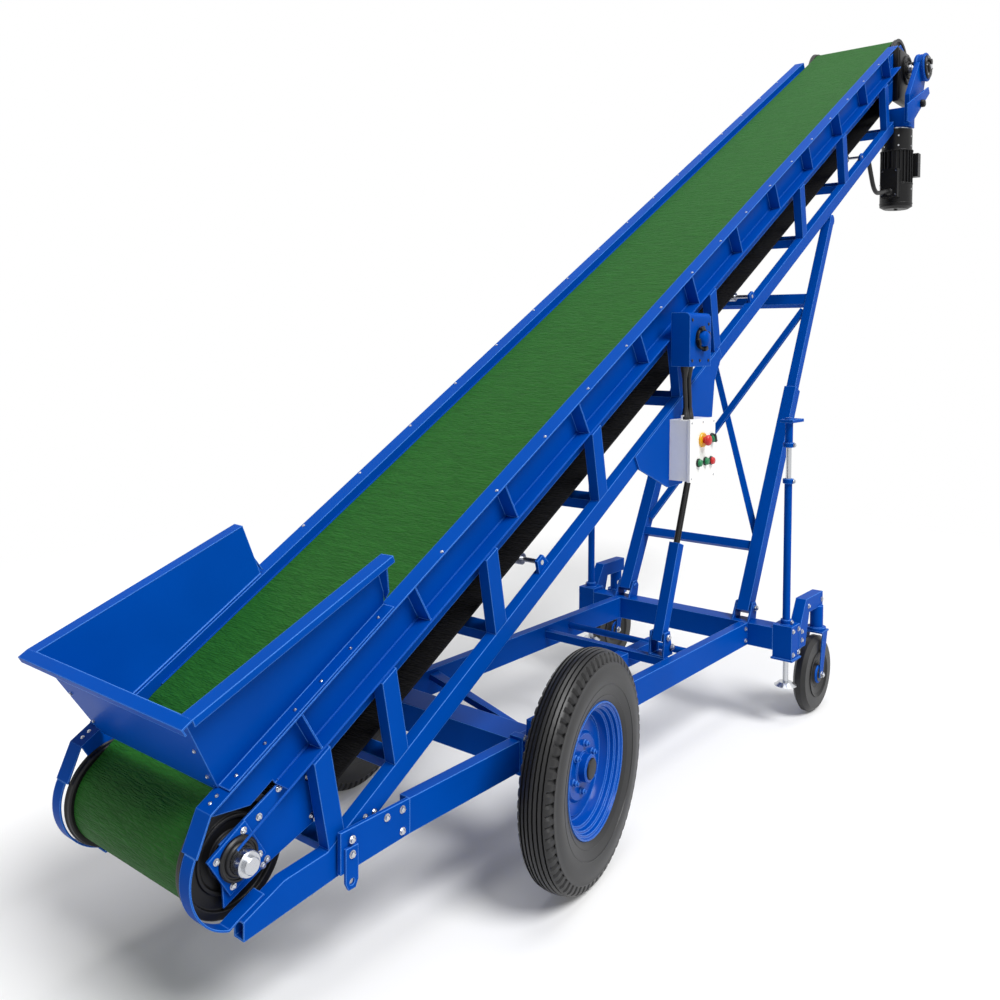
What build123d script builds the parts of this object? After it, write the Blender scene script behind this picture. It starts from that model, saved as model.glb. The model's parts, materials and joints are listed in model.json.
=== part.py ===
from build123d import *
from math import acos, atan2, cos, degrees, hypot, radians, sin
import os

os.makedirs("parts", exist_ok=True)

# Frame: X runs level toward the discharge end, Y across, Z up from the ground.
# The road wheels' axle is above X = 0. All lengths are in millimetres.
# The boom has its own axes: s along the belt and t square to it, both from the origin.
incline = 30.7
boom_cos = cos(radians(incline))
boom_sin = sin(radians(incline))
boom_dir = (boom_cos, 0, boom_sin)

# Gaps: what seats, what turns and what moves past
seat_gap = 0.3
run_gap = 0.08
lug_gap = 5
lug_thick = 8

# Belt and pulleys
belt_half = 250
belt_thick = 8
belt_top = 1148.6
rise_s = -520
crease_s = 4990
tail_s = -738
tail_t = 984
tail_radius = 135
head_s = 5245
head_t = 988
head_radius = 164
shaft_radius = 17.5
pulley_lip = 6
hoop_radius = tail_radius + 22
hoop_thick = 5
hoop_start = 124
hoop_end = 221
bed_thick = 4
bed_margin = 40
idler_radius = 20
idler_pin = 8

# Side rails
rail_inner = 271
rail_thick = 4
rail_out = 331
rail_top = 1171.5
rail_flange = 1033
rail_skirt = 962
rail_tail = -745
rail_head = 5070
rib_pitch = 482
rib_first = -430
rib_thick = 5

# Chords, posts and runners below the rails
chord_out = 341
chord_wide = 40
chord_top = 798
chord_deep = 60
chord_head = 4715
post_wide = 62
post_lean = 84
cross_deep = 46
runner_depth = 85
tip_x = -1156
hinge_x = -800
hinge_z = 419
hinge_radius = 12

# Feed hopper
hull_front = -683
hull_rear = -40
hull_low = rail_top + 1.2
hull_plate = 4
hull_foot = 279
hull_rise = 158.5    # the side walls' height above the rails at their low rear end
hull_step = 115
hull_back = rail_top + hull_rise
hull_high = hull_back + hull_step
flare = 13.6
rim_wide = 46
rim_lip = 20
rim_over = 30

# Conduits
cord_radius = 9
cord_rows = (926, 962)
cord_y = -392
lead_radius = 13

# Chassis
beam_out = 363.5
beam_wide = 40
beam_top = 445
beam_deep = 102
beam_front = -610
beam_rear = 1610
cheek_thick = 12
cheek_front = -868
eye_x = -835
eye_z = 306
eye_radius = 9
eye_thick = 8
rear_beam_wide = 90
axle_beam_front = -105
axle_beam_wide = 125
jack_x = 1655
jack_y = 530
jack_box = 90
jack_box_low = 312
jack_box_high = 462
barrel_radius = 17
screw_radius = 12
barrel_high = 1125
chrome_show = 140
sleeve_long = 135
chrome_high = barrel_high + chrome_show
sleeve_high = chrome_high + sleeve_long

# Road wheels
wheel_radius = 375
tyre_width = 168
wheel_y = 545
rim_radius = 222
bead_radius = 212
hub_radius = 52
spindle_radius = 30
wheel_turn = 9.5

# Swivel wheels
caster_radius = 178
caster_width = 62
caster_x = 1945
caster_y = 560
caster_trail = -45
caster_pin = 9
king_radius = 14
fork_gap = 7
fork_thick = 6
fork_top = 376
arm_wide = 50
arm_top = 556
arm_deep = 66

# Rear leg frame and prop
leg_y = 321
leg_wide = 60
leg_slim = 46
leg_foot = (1680, 500)
leg_head = (2655, 2400)
leg_split = 1130
leg_pin = 12
shoe_gap = 1.4
prop_y = -250
prop_wide = 46
prop_wall = 4
prop_foot = (1000, 505)
prop_eye_s = 2060
prop_drop = 48    # the eye hangs this far below the chords
prop_eye_t = chord_top - chord_deep - prop_drop
prop_pin = 9


def frame_side(y):
    # upright plane across the machine: local x is X, local y is Z, depth runs toward -Y
    return Plane(origin=(0, y, 0), x_dir=(1, 0, 0), z_dir=(0, -1, 0))


def boom_side(y):
    # the same plane turned with the boom: local x is s, local y is t
    return Plane(origin=(0, y, 0), x_dir=boom_dir, z_dir=(0, -1, 0))


def boom_cut(s):
    # section across the boom: local x is Y, local y is t, depth runs up the boom
    return Plane(origin=(s * boom_cos, 0, s * boom_sin), x_dir=(0, 1, 0), z_dir=boom_dir)


def to_world(s, t):
    return (s * boom_cos - t * boom_sin, s * boom_sin + t * boom_cos)


def to_boom(x, z):
    return (x * boom_cos + z * boom_sin, z * boom_cos - x * boom_sin)


# The part's own origin lies below the middle of its length
rear_end = to_world(hull_front - rim_over, hull_high)[0]
front_end = to_world(head_s, head_t)[0] + head_radius
origin_x = (rear_end + front_end) / 2


def slab(plane, points, depth, both=False, mode=Mode.ADD):
    with BuildSketch(plane) as face:
        with BuildLine():
            Polyline(*points, close=True)
        make_face()
    extrude(face.sketch, amount=depth, both=both, mode=mode)


def disc(plane, centre, radius, depth, both=False, mode=Mode.ADD):
    with BuildSketch(plane) as face:
        with Locations(centre):
            Circle(radius)
    extrude(face.sketch, amount=depth, both=both, mode=mode)


def bar(plane, start, end, width, depth, mode=Mode.ADD):
    with BuildSketch(plane) as face:
        with Locations(((start[0] + end[0]) / 2, (start[1] + end[1]) / 2)):
            turn = degrees(atan2(end[1] - start[1], end[0] - start[0]))
            Rectangle(hypot(end[0] - start[0], end[1] - start[1]), width, rotation=turn)
    extrude(face.sketch, amount=depth / 2, both=True, mode=mode)


def block(low, high, mode=Mode.ADD):
    middle = tuple((a + b) / 2 for a, b in zip(low, high))
    with Locations(middle):
        Box(high[0] - low[0], high[1] - low[1], high[2] - low[2], mode=mode)


def stick(start, end, points, x_dir):
    # a straight section from start to end, its outline given in the plane across it
    along = Vector(*end) - Vector(*start)
    slab(Plane(origin=start, x_dir=x_dir, z_dir=along), points, along.length)


def sided(side, low, high):
    # a pair of Y values given from the centre outward, put in rising order
    return sorted((side * low, side * high))


def hoop_point(radius, angle):
    return (tail_s + radius * cos(radians(angle)), tail_t + radius * sin(radians(angle)))


def save(piece, name):
    # drawn from the road axle, kept with the origin below the middle of the length
    placed = piece.part.moved(Location((-origin_x, 0, 0)))
    placed.label = name
    export_step(placed, f"parts/{name}.step")


def turned(side):
    # across each wheel: local x points out along its stub axle, local y up
    out = (-side * sin(radians(wheel_turn)), side * cos(radians(wheel_turn)), 0)
    return Plane(origin=(0, side * wheel_y, wheel_radius), x_dir=out,
                 z_dir=Vector(*out).cross(Vector(0, 0, 1)))


def touch(point, centre, radius, turn):
    # where a line from a point meets a circle without cutting it
    away = atan2(point[1] - centre[1], point[0] - centre[0])
    swing = acos(radius / hypot(point[0] - centre[0], point[1] - centre[1]))
    at = away + turn * swing
    return (centre[0] + radius * cos(at), centre[1] + radius * sin(at))


def belt_loop(inset):
    top = belt_top - inset
    r_tail = tail_radius - inset
    r_head = head_radius - inset
    a = touch((rise_s, top), (tail_s, tail_t), r_tail, 1)
    b = touch((crease_s, top), (head_s, head_t), r_head, -1)
    span = hypot(head_s - tail_s, head_t - tail_t)
    low = atan2(head_t - tail_t, head_s - tail_s) - radians(90) - (r_head - r_tail) / span
    c = (head_s + r_head * cos(low), head_t + r_head * sin(low))
    d = (tail_s + r_tail * cos(low), tail_t + r_tail * sin(low))
    with BuildSketch(boom_side(0)) as face:
        with BuildLine():
            Polyline(a, (rise_s, top), (crease_s, top), b)
            ThreePointArc(b, (head_s + r_head, head_t), c)
            Line(c, d)
            ThreePointArc(d, (tail_s - r_tail, tail_t), a)
        make_face()
    return face.sketch


# Belt: one closed loop over both pulleys, with a small rise behind the feed
with BuildPart() as belt:
    extrude(belt_loop(0), amount=belt_half, both=True)
    extrude(belt_loop(belt_thick), amount=belt_half + 1, both=True, mode=Mode.SUBTRACT)
save(belt, "belt")

bed_top = belt_top - belt_thick - seat_gap
bed_head = crease_s - bed_margin
with BuildPart() as bed:
    with BuildSketch(boom_cut(rise_s + bed_margin)):
        with Locations((0, bed_top - bed_thick / 2)):
            Rectangle(2 * rail_inner, bed_thick)
    extrude(amount=bed_head - rise_s - bed_margin)
save(bed, "belt_bed")


def pulley(centre, radius, reach_near, reach_far):
    # drum with a thin end lip and a stepped through shaft
    drum = radius - belt_thick - seat_gap
    disc(boom_side(0), centre, drum, belt_half + pulley_lip, both=True)
    for side in (-1, 1):
        face = boom_side(side * (belt_half + pulley_lip))
        disc(face, centre, drum - 12, side * 10, mode=Mode.SUBTRACT)
        disc(face, centre, 38, side * 10)
    disc(boom_side(0), centre, shaft_radius, reach_near)
    disc(boom_side(0), centre, shaft_radius, -reach_far)


shaft_reach = 352
drive_reach = 470
with BuildPart() as pulleys:
    pulley((tail_s, tail_t), tail_radius, shaft_reach, shaft_reach)
    pulley((head_s, head_t), head_radius, drive_reach, shaft_reach)
save(pulleys, "belt_pulleys")

# Rails: channels open outward, ribbed, with a skirt below and the nose turned down
web_out = rail_inner + rail_thick
with BuildPart() as rail:
    for side in (-1, 1):
        with BuildSketch(boom_cut(rail_tail)):
            with Locations((side * (rail_inner + web_out) / 2, (rail_top + rail_skirt) / 2)):
                Rectangle(rail_thick, rail_top - rail_skirt)
            for height in (rail_top - rail_thick / 2, rail_flange + rail_thick / 2):
                with Locations((side * (rail_inner + rail_out) / 2, height)):
                    Rectangle(rail_out - rail_inner, rail_thick)
        extrude(amount=rail_head - rail_tail)
        for number in range(int((rail_head - rib_first) / rib_pitch) + 1):
            s = rib_first + number * rib_pitch
            with BuildSketch(boom_cut(s)):
                with Locations((side * (rail_inner + rail_out - 6) / 2, (rail_top + rail_flange) / 2)):
                    Rectangle(rail_out - rail_inner - 6, rail_top - rail_flange)
            extrude(amount=rib_thick)
        nose_end = hoop_start - 0.1
        nose = [(rail_tail, rail_top - rail_thick), (rail_tail, rail_top),
                hoop_point(hoop_radius, nose_end), hoop_point(hoop_radius - hoop_thick, nose_end)]
        slab(boom_side(side * rail_inner), nose, -side * (rail_out - rail_inner))
        notch_end = rail_tail + 185
        tail_cut = [(rail_tail - 1, rail_skirt - 1), (rail_tail - 1, rail_top - 40),
                    (rail_tail + 105, rail_flange + 17), (notch_end, rail_flange + 17),
                    (notch_end, rail_skirt - 1)]
        slab(boom_side(side * (rail_inner - 1)), tail_cut, -side * (rail_out - rail_inner + 2),
             mode=Mode.SUBTRACT)
save(rail, "side_rails")

# Feed hopper: two flared sides and a front wall, with a rolled rim and rear returns
spread = sin(radians(flare)) / cos(radians(flare))


def hull_y(t):
    return hull_foot + (t - hull_low) * spread


with BuildPart() as hopper:
    for side in (-1, 1):
        up = (-boom_sin * cos(radians(flare)), side * sin(radians(flare)), boom_cos * cos(radians(flare)))
        base = to_world(0, hull_low)
        wall = Plane(origin=(base[0], side * hull_foot, base[1]), x_dir=boom_dir,
                     z_dir=Vector(*boom_dir).cross(Vector(*up)))
        tall = [(t - hull_low) / cos(radians(flare)) for t in (hull_high, hull_back)]
        slab(wall, [(hull_front, 0), (hull_rear, 0), (hull_rear + 45, tall[1]), (hull_front, tall[0])],
             side * -hull_plate)
        ends = []
        for s, t in ((hull_front, hull_high), (hull_rear + 45, hull_back)):
            x, z = to_world(s, t)
            ends.append((x, side * (hull_y(t) - 1), z))
        rim = [(0, 0), (rim_wide, 0), (rim_wide, -rim_lip), (rim_wide - hull_plate, -rim_lip),
               (rim_wide - hull_plate, -hull_plate), (0, -hull_plate)]
        edge = Vector(*ends[1]) - Vector(*ends[0])
        across = Vector(0, side, 0)
        plane = Plane(origin=ends[0], x_dir=across, z_dir=edge)
        flip = 1 if plane.y_dir.Z > 0 else -1
        slab(plane, [(x, flip * y) for x, y in rim], edge.length)
        foot_y = sided(side, hull_foot - 2, rail_out - 4)
        with BuildSketch(boom_cut(hull_front + 4)):
            with Locations(((foot_y[0] + foot_y[1]) / 2, hull_low + hull_plate / 2)):
                Rectangle(foot_y[1] - foot_y[0], hull_plate)
        extrude(amount=hull_rear - hull_front - 4)
        back = [(hull_y(hull_low + 6), hull_low + 6), (hull_y(hull_back) + 2, hull_back - 4),
                (hull_y(hull_back) + 40, hull_back - 20), (hull_foot + 34, hull_low + 40)]
        slab(boom_cut(hull_rear + 12), [(side * y, t) for y, t in back], hull_plate)
    chin = belt_half + 14
    front = [(-hull_y(hull_high), hull_high), (-hull_foot - 1, hull_low), (-chin, hull_low),
             (-chin, hull_low - 14), (chin, hull_low - 14), (chin, hull_low),
             (hull_foot + 1, hull_low), (hull_y(hull_high), hull_high)]
    slab(boom_cut(hull_front), front, hull_plate)
    rim_y = hull_y(hull_high) + rim_wide - 1
    slab(boom_cut(hull_front - rim_over),
         [(-rim_y, hull_high), (rim_y, hull_high), (rim_y, hull_high - hull_plate),
          (-rim_y, hull_high - hull_plate)], 32)
    slab(boom_cut(hull_front - rim_over),
         [(-rim_y, hull_high), (rim_y, hull_high), (rim_y, hull_high - rim_lip),
          (-rim_y, hull_high - rim_lip)], hull_plate)
save(hopper, "hopper")

# Truss: a chord under each rail, posts between them, cross members and sloping runners
chord_low = chord_top - chord_deep
chord_mid = chord_top - chord_deep / 2
chord_y = chord_out - chord_wide / 2
hinge_s, hinge_t = to_boom(hinge_x, hinge_z)
knee_top = to_boom(-893, 398)
knee_low = to_boom(hinge_x, (chord_low + hinge_x * boom_sin) / boom_cos)
knee_a = to_world(knee_top[0], chord_top)
knee_b = to_world(knee_low[0], chord_low)
runner_tip = to_boom(tip_x, 334)
post_rows = (-559, -277, 243, 928, 1620, 1975, 3098, 3785, 4600)
with BuildPart() as chord:
    for side in (-1, 1):
        outline = [(knee_top[0], chord_top), (knee_low[0], chord_low), (chord_head, chord_low),
                   (chord_head + 28, chord_top)]
        slab(boom_side(side * chord_y), outline, chord_wide / 2, both=True)
        disc(boom_side(side * chord_y), (hinge_s, hinge_t), hinge_radius + run_gap, chord_wide,
             both=True, mode=Mode.SUBTRACT)
        shape = [(tip_x, 286), (tip_x, 334), (-1033, 385), knee_a, knee_b, (hinge_x, 326)]
        slab(frame_side(side * chord_y), shape, chord_wide / 2, both=True)
        open_end = [(tip_x - 1, 290), (tip_x - 1, 330), (-1036, 380), (-1036, 303)]
        slab(frame_side(side * chord_y), open_end, chord_wide / 2 - 4, both=True, mode=Mode.SUBTRACT)
save(chord, "chords")

with BuildPart() as posts:
    for side in (-1, 1):
        for row in post_rows:
            foot = [(row, chord_top), (row + post_wide, chord_top),
                    (row + post_wide + post_lean, rail_flange), (row + post_lean, rail_flange)]
            slab(boom_side(side * chord_y), foot, chord_wide / 2, both=True)
save(posts, "truss_posts")

with BuildPart() as ties:
    for row in post_rows:
        with BuildSketch(boom_cut(row + 8)):
            with Locations((0, chord_mid)):
                Rectangle(2 * (chord_out - chord_wide), cross_deep)
        extrude(amount=cross_deep)
save(ties, "truss_ties")

# Return idlers on small saddles along the chords
idler_rows = (560, 2450, 4150)


def idler_height(row):
    # just under the belt's return run, which falls slightly toward the larger drum
    tail_low = tail_t - tail_radius
    head_low = head_t - head_radius
    share = (row - tail_s) / (head_s - tail_s)
    return tail_low + share * (head_low - tail_low) - idler_radius - seat_gap - 0.2


with BuildPart() as idlers:
    for row in idler_rows:
        height = idler_height(row)
        disc(boom_side(0), (row, height), idler_radius, belt_half - 5, both=True)
        disc(boom_side(0), (row, height), idler_pin, chord_out - 12, both=True)
save(idlers, "return_idlers")

with BuildPart() as saddles:
    for row in idler_rows:
        height = idler_height(row)
        for side in (-1, 1):
            face = boom_side(side * (chord_out - chord_wide / 2))
            slab(face, [(row - 30, chord_top), (row + 30, chord_top), (row + 18, height + 18),
                        (row - 18, height + 18)], 6, both=True)
            disc(face, (row, height), idler_pin + run_gap, 8, both=True, mode=Mode.SUBTRACT)
save(saddles, "idler_saddles")

# Tail: carrier plates, hoop guards round the drum ends and flanged bearings
plate_thick = 6
plate_y = web_out + seat_gap
carrier_top = rail_flange - seat_gap
carrier = [(tail_s - 88, tail_t - 82), (tail_s + 46, tail_t - 98), (tail_s + 208, tail_t - 134),
           (tail_s + 286, tail_t + 16), (tail_s + 298, carrier_top), (tail_s + 178, carrier_top),
           (tail_s - 14, tail_t + 62)]
bearing_half = 62
cap_radius = 44
bearing_base = 12
bearing_depth = 34
with BuildPart() as plate:
    for side in (-1, 1):
        out = -side
        slab(boom_side(side * plate_y), carrier, out * plate_thick)
        disc(boom_side(side * rail_inner), (tail_s, tail_t), shaft_radius + 4, out * 30,
             mode=Mode.SUBTRACT)
save(plate, "tail_plates")

runner_top = to_boom(-1033, 385)
rest = (runner_tip[0] + 0.6 * (runner_top[0] - runner_tip[0]),
        runner_tip[1] + 0.6 * (runner_top[1] - runner_tip[1]) + seat_gap)
with BuildPart() as hoop:
    for side in (-1, 1):
        out = -side
        with BuildSketch(boom_side(side * (rail_inner + 13))):
            with BuildLine():
                outer = CenterArc((tail_s, tail_t), hoop_radius, hoop_start, hoop_end - hoop_start)
                inner = CenterArc((tail_s, tail_t), hoop_radius - hoop_thick, hoop_start,
                                  hoop_end - hoop_start)
                Line(outer @ 0, inner @ 0)
                Polyline(outer @ 1, (runner_tip[0], runner_tip[1] + seat_gap), rest,
                         (rest[0], rest[1] + 5),
                         (runner_tip[0], runner_tip[1] + 5), inner @ 1)
            make_face()
        extrude(amount=out * 42)
save(hoop, "hoop_guards")

with BuildPart() as bearing:
    for side in (-1, 1):
        out = -side
        base = boom_side(side * (plate_y + plate_thick))
        with BuildSketch(base):
            with Locations((tail_s, tail_t)):
                RectangleRounded(2 * bearing_half, 2 * bearing_half, 18)
        extrude(amount=out * bearing_base)
        disc(base, (tail_s, tail_t), cap_radius, out * bearing_depth)
        disc(base, (tail_s, tail_t), shaft_radius + run_gap, out * 60, mode=Mode.SUBTRACT)
save(bearing, "tail_bearings")

# Head: side plates, bearings, worm drive, torque plate and hanging motor
head_plate = [(head_s - 445, head_t - 130), (head_s + 45, head_t - 130), (head_s + 127, head_t - 63),
              (head_s + 127, head_t + 47), (head_s + 65, head_t + 122),
              (rail_head + seat_gap, head_t + 122), (rail_head + seat_gap, rail_skirt - seat_gap),
              (head_s - 445, rail_skirt - seat_gap)]
with BuildPart() as plate:
    for side in (-1, 1):
        out = -side
        slab(boom_side(side * rail_inner), head_plate, out * plate_thick)
        disc(boom_side(side * rail_inner), (head_s, head_t), shaft_radius + 4, out * 30,
             mode=Mode.SUBTRACT)
save(plate, "head_plates")

with BuildPart() as bearing:
    for side, flange, thick in ((-1, 165, 30), (1, 75, bearing_base)):
        base = boom_side(side * (rail_inner + plate_thick))
        with BuildSketch(base) as outline:
            with Locations((head_s, head_t)):
                RectangleRounded(2 * flange, 2 * flange, 26)
        extrude(outline.sketch, amount=-side * thick)
        if side < 0:
            disc(boom_side(side * (rail_inner + plate_thick + 8)), (head_s, head_t), 118, 60,
                 mode=Mode.SUBTRACT)
        disc(base, (head_s, head_t), 50, -side * 44)
    disc(boom_side(0), (head_s, head_t), shaft_radius + run_gap, 600, both=True, mode=Mode.SUBTRACT)
save(bearing, "head_bearings")

gear_x, gear_z = to_world(head_s, head_t)
gear_in = 384
gear_out = 452
motor_x = gear_x - 222
motor_y = -330
motor_drop = 457
motor_top = gear_z - motor_drop
motor_radius = 98
motor_long = 490
input_low = motor_top + 20
with BuildPart() as gearbox:
    plane = frame_side(-gear_in)
    with BuildSketch(plane) as case:
        with Locations((gear_x, gear_z)):
            RegularPolygon(92, 8, rotation=22.5)
        with BuildLine():
            Polyline((motor_x - 55, input_low + 110), (gear_x - 60, gear_z - 60),
                     (gear_x + 40, gear_z - 70), (motor_x + 60, input_low), (motor_x - 55, input_low),
                     close=True)
        make_face()
    extrude(case.sketch, amount=gear_out - gear_in)
    disc(plane, (gear_x, gear_z), 56, gear_out - gear_in + 22)
    block((motor_x - 55, -gear_in, input_low), (motor_x + 55, motor_y + 46, input_low + 110))
    disc(plane, (gear_x, gear_z), shaft_radius + run_gap, 140, mode=Mode.SUBTRACT)
save(gearbox, "gearbox")

plate_edge = [(gear_x - 295, gear_z - 327), (gear_x - 45, gear_z - 84), (gear_x + 85, gear_z - 62),
              (gear_x + 185, gear_z - 127), (gear_x - 175, input_low), (gear_x - 295, input_low + 10)]
with BuildPart() as torque_plate:
    slab(frame_side(-gear_out - seat_gap), plate_edge, 8)
    disc(frame_side(-gear_out - seat_gap), (gear_x + 20, gear_z - 237), 16, 34)
save(torque_plate, "torque_plate")

cowl_high = 150
cap_deep = 135
with BuildPart() as motor:
    low = motor_top - motor_long
    fin_low = low + cowl_high
    fin_high = motor_top - cap_deep
    # radius, bottom and top: cowl, core, end bell and neck
    barrels = ((motor_radius - 2, low + 14, fin_low), (motor_radius - 12, fin_low, fin_high),
               (motor_radius - 8, fin_high, motor_top), (48, motor_top, input_low))
    for radius, bottom, top in barrels:
        with Locations((motor_x, motor_y, (bottom + top) / 2)):
            Cylinder(radius, top - bottom)
    with Locations((motor_x, motor_y, low + 7)):
        Cone(motor_radius - 26, motor_radius - 2, 14)
    with BuildSketch(Plane.XY.offset(low + cowl_high)) as fins:
        with Locations((motor_x, motor_y)):
            with PolarLocations(motor_radius - 10, 24):
                Rectangle(16, 5)
    extrude(fins.sketch, amount=motor_long - cap_deep - cowl_high)
    block((motor_x - motor_radius - 44, motor_y - 50, low + 60),
          (motor_x - motor_radius + 20, motor_y + 50, low + 235))
    block((motor_x + 34, motor_y - motor_radius - 22, low + 200), (motor_x + 86, motor_y - 40, low + 345))
save(motor, "drive_motor")

# Gussets under the chords, with the prop's lug on the near one
eye = to_world(prop_eye_s, prop_eye_t)
gusset_s = 1203
gusset = [(gusset_s, chord_low), (gusset_s + 143, chord_low - 193), (gusset_s + 243, chord_low - 248),
          (gusset_s + 397, chord_low - 218), (gusset_s + 587, chord_low - 178),
          (gusset_s + 697, chord_low - 38), (gusset_s + 807, chord_low + 20),
          (gusset_s + 807, chord_top), (gusset_s, chord_top)]
with BuildPart() as gusset_plate:
    for side in (-1, 1):
        slab(boom_side(side * chord_out), gusset, -side * 8)
save(gusset_plate, "gussets")

tie_low = chord_mid - cross_deep / 2
lug_back = 54    # the lug's root lies this far down the boom from its eye
with BuildPart() as prop_lug:
    for hand in (-1, 1):
        inner = prop_y + hand * (prop_wide / 2 + lug_gap)
        with BuildSketch(boom_side(inner)) as plate:
            with Locations((prop_eye_s - lug_back, tie_low - 4)):
                Rectangle(cross_deep, 8)
            with Locations((prop_eye_s, prop_eye_t)):
                Circle(prop_pin + 16)
            make_hull()
        extrude(plate.sketch, amount=-hand * lug_thick)
        outer = boom_side(inner + hand * lug_thick)
        disc(outer, (prop_eye_s, prop_eye_t), prop_pin + 4, -hand * 9)
save(prop_lug, "prop_lug")

# Switch boxes on the near side
box_back = chord_out + 8 + seat_gap
iso_low = (905, -425, 1640)
iso_high = (1085, -chord_out - seat_gap, 1856)
with BuildPart() as isolator:
    block(iso_low, iso_high)
    crown = isolator.edges().filter_by(Axis.X).group_by(Axis.Z)[-1].sort_by(Axis.Y)[0]
    fillet(crown, 22)
    for x in cord_rows:
        with Locations((x, cord_y, iso_low[2] - 9)):
            Cylinder(13, 18)
save(isolator, "isolator_box")

with BuildPart() as handle:
    face = frame_side(iso_low[1])
    knob = ((iso_low[0] + iso_high[0]) / 2, (iso_low[2] + iso_high[2]) / 2 + 4)
    disc(face, knob, 34, 10)
    disc(face, knob, 26, 34)
    bar(frame_side(iso_low[1] - 36), (knob[0], knob[1] - 36), (knob[0], knob[1] + 36), 24, 20)
save(handle, "isolator_handle")

ctl_low = (884, -442, 1182)
ctl_high = (1100, -box_back, 1431)
lid_deep = 14
with BuildPart() as control_box:
    block((ctl_low[0] + 3, ctl_low[1] + lid_deep, ctl_low[2] + 3),
          (ctl_high[0] - 3, ctl_high[1], ctl_high[2] - 3))
    block(ctl_low, (ctl_high[0], ctl_low[1] + lid_deep - 2, ctl_high[2]))
    block((ctl_low[0] + 5, ctl_low[1] + 4, ctl_low[2] + 5),
          (ctl_high[0] - 5, ctl_low[1] + lid_deep + 4, ctl_high[2] - 5))
    for x in cord_rows:
        with Locations((x, cord_y, ctl_high[2] + 6)):
            Cylinder(13, 18)
save(control_box, "control_box")

# along and up the lid, radius, stand-off: emergency stop, selector and three push buttons
buttons = ((100, 168, 19, 34), (182, 170, 15, 26), (66, 80, 14, 20), (126, 82, 14, 20), (174, 84, 14, 20))
with BuildPart() as button_row:
    for along, up, radius, stand in buttons:
        disc(frame_side(ctl_low[1]), (ctl_low[0] + along, ctl_low[2] + up), radius, stand)
save(button_row, "control_buttons")

# Conduits between the boxes, each with a slight set between its glands
def conduit(points, radii, radius, name, first_dir):
    with BuildPart() as cord:
        with BuildLine() as route:
            FilletPolyline(*points, radius=radii)
        across = Plane(origin=points[0], z_dir=first_dir)
        with BuildSketch(across) as section:
            Circle(radius)
        sweep(section.sketch, path=route.line)
    save(cord, name)


def bend_radii(points):
    # each bend takes 0.45 of its shorter run
    radii = []
    for a, b, c in zip(points, points[1:], points[2:]):
        before = Vector(*b) - Vector(*a)
        after = Vector(*c) - Vector(*b)
        half_turn = radians(before.get_angle(after)) / 2
        radii.append(0.45 * min(before.length, after.length) * cos(half_turn) / sin(half_turn))
    return radii


for number, x in enumerate(cord_rows):
    top = iso_low[2] - 18
    drop = (top - ctl_high[2] - 15) / 3
    points = [(x, cord_y, top), (x, cord_y, top - 0.9 * drop), (x + 3, cord_y - 4, top - 2.1 * drop),
              (x + 3, cord_y - 4, top - 3 * drop)]
    print("box cord", number, [round(r) for r in bend_radii(points)])
    conduit(points, bend_radii(points), cord_radius, f"box_cord_{number + 1}", (0, 0, -1))


lead_y = motor_y
box_x = motor_x - motor_radius - 44
box_z = motor_top - motor_long + 92
lead_end = 4262
end_x, end_z = to_world(lead_end, chord_low)
turn_x, turn_z = to_world(lead_end, chord_low - 70)
far_x, far_z = to_world(lead_end - 12, chord_low - 150)
lead = [(box_x, lead_y, box_z), (box_x - 55, lead_y, box_z), (box_x - 130, lead_y + 3, box_z - 20),
        (far_x + 40, lead_y + 6, far_z - 40), (turn_x, -chord_y, turn_z), (end_x, -chord_y, end_z)]
print("motor lead", [round(r) for r in bend_radii(lead)])
conduit(lead, bend_radii(lead), lead_radius, "motor_lead", (-1, 0, 0))

# Chassis: two long beams, axle beam, rear beam, sub-frame and braces
beam_in = beam_out - beam_wide
beam_low = beam_top - beam_deep
with BuildPart() as beam:
    for side in (-1, 1):
        y = sided(side, beam_in, beam_out)
        block((beam_front, y[0], beam_low), (beam_rear, y[1], beam_top))
save(beam, "side_beams")

with BuildPart() as cheek:
    for side in (-1, 1):
        plane = frame_side(side * (beam_out - cheek_thick))
        slab(plane, [(cheek_front, 332), (beam_front, beam_low), (beam_front, beam_top),
                     (cheek_front, beam_top)], -side * cheek_thick)
        disc(frame_side(side * (chord_out - chord_wide - 6)), (hinge_x, hinge_z), hinge_radius,
             -side * (beam_out - chord_out + chord_wide + 6))
save(cheek, "hinge_cheeks")

with BuildPart() as tow_eyes:
    for side in (-1, 1):
        plane = frame_side(side * (beam_out + seat_gap))
        slab(plane, [(eye_x - 22, 400), (eye_x + 22, 400), (eye_x + 22, eye_z),
                     (eye_x + 12, eye_z - 20), (eye_x - 12, eye_z - 20), (eye_x - 22,
                                                                          eye_z)], -side * eye_thick)
        disc(plane, (eye_x, eye_z), eye_radius, -side * eye_thick, mode=Mode.SUBTRACT)
save(tow_eyes, "tow_eyes")

with BuildPart() as cross_beams:
    block((axle_beam_front, -beam_in, beam_low + 2),
          (axle_beam_front + axle_beam_wide, beam_in, beam_top - 2))
    block((beam_rear, -jack_y + jack_box / 2, beam_low),
          (beam_rear + rear_beam_wide, jack_y - jack_box / 2, beam_top))
save(cross_beams, "cross_beams")

tube_a = 985
tube_b = 1165
spine_y = -90
with BuildPart() as subframe:
    block((tube_a - 17, -beam_in, 390), (tube_a + 17, beam_in, 424))
    disc(frame_side(0), (tube_b, 405), 15, beam_in, both=True)
    block((850, spine_y - 26, 350), (tube_b + 60, spine_y + 26, 412))
save(subframe, "subframe")

with BuildPart() as braces:
    face = axle_beam_front + axle_beam_wide
    slab(Plane.XY.offset(beam_top - 40),
         [(face, 10 - beam_in), (face, 75 - beam_in), (205, beam_in), (255, beam_in)], 24)
save(braces, "frame_brace")

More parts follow.
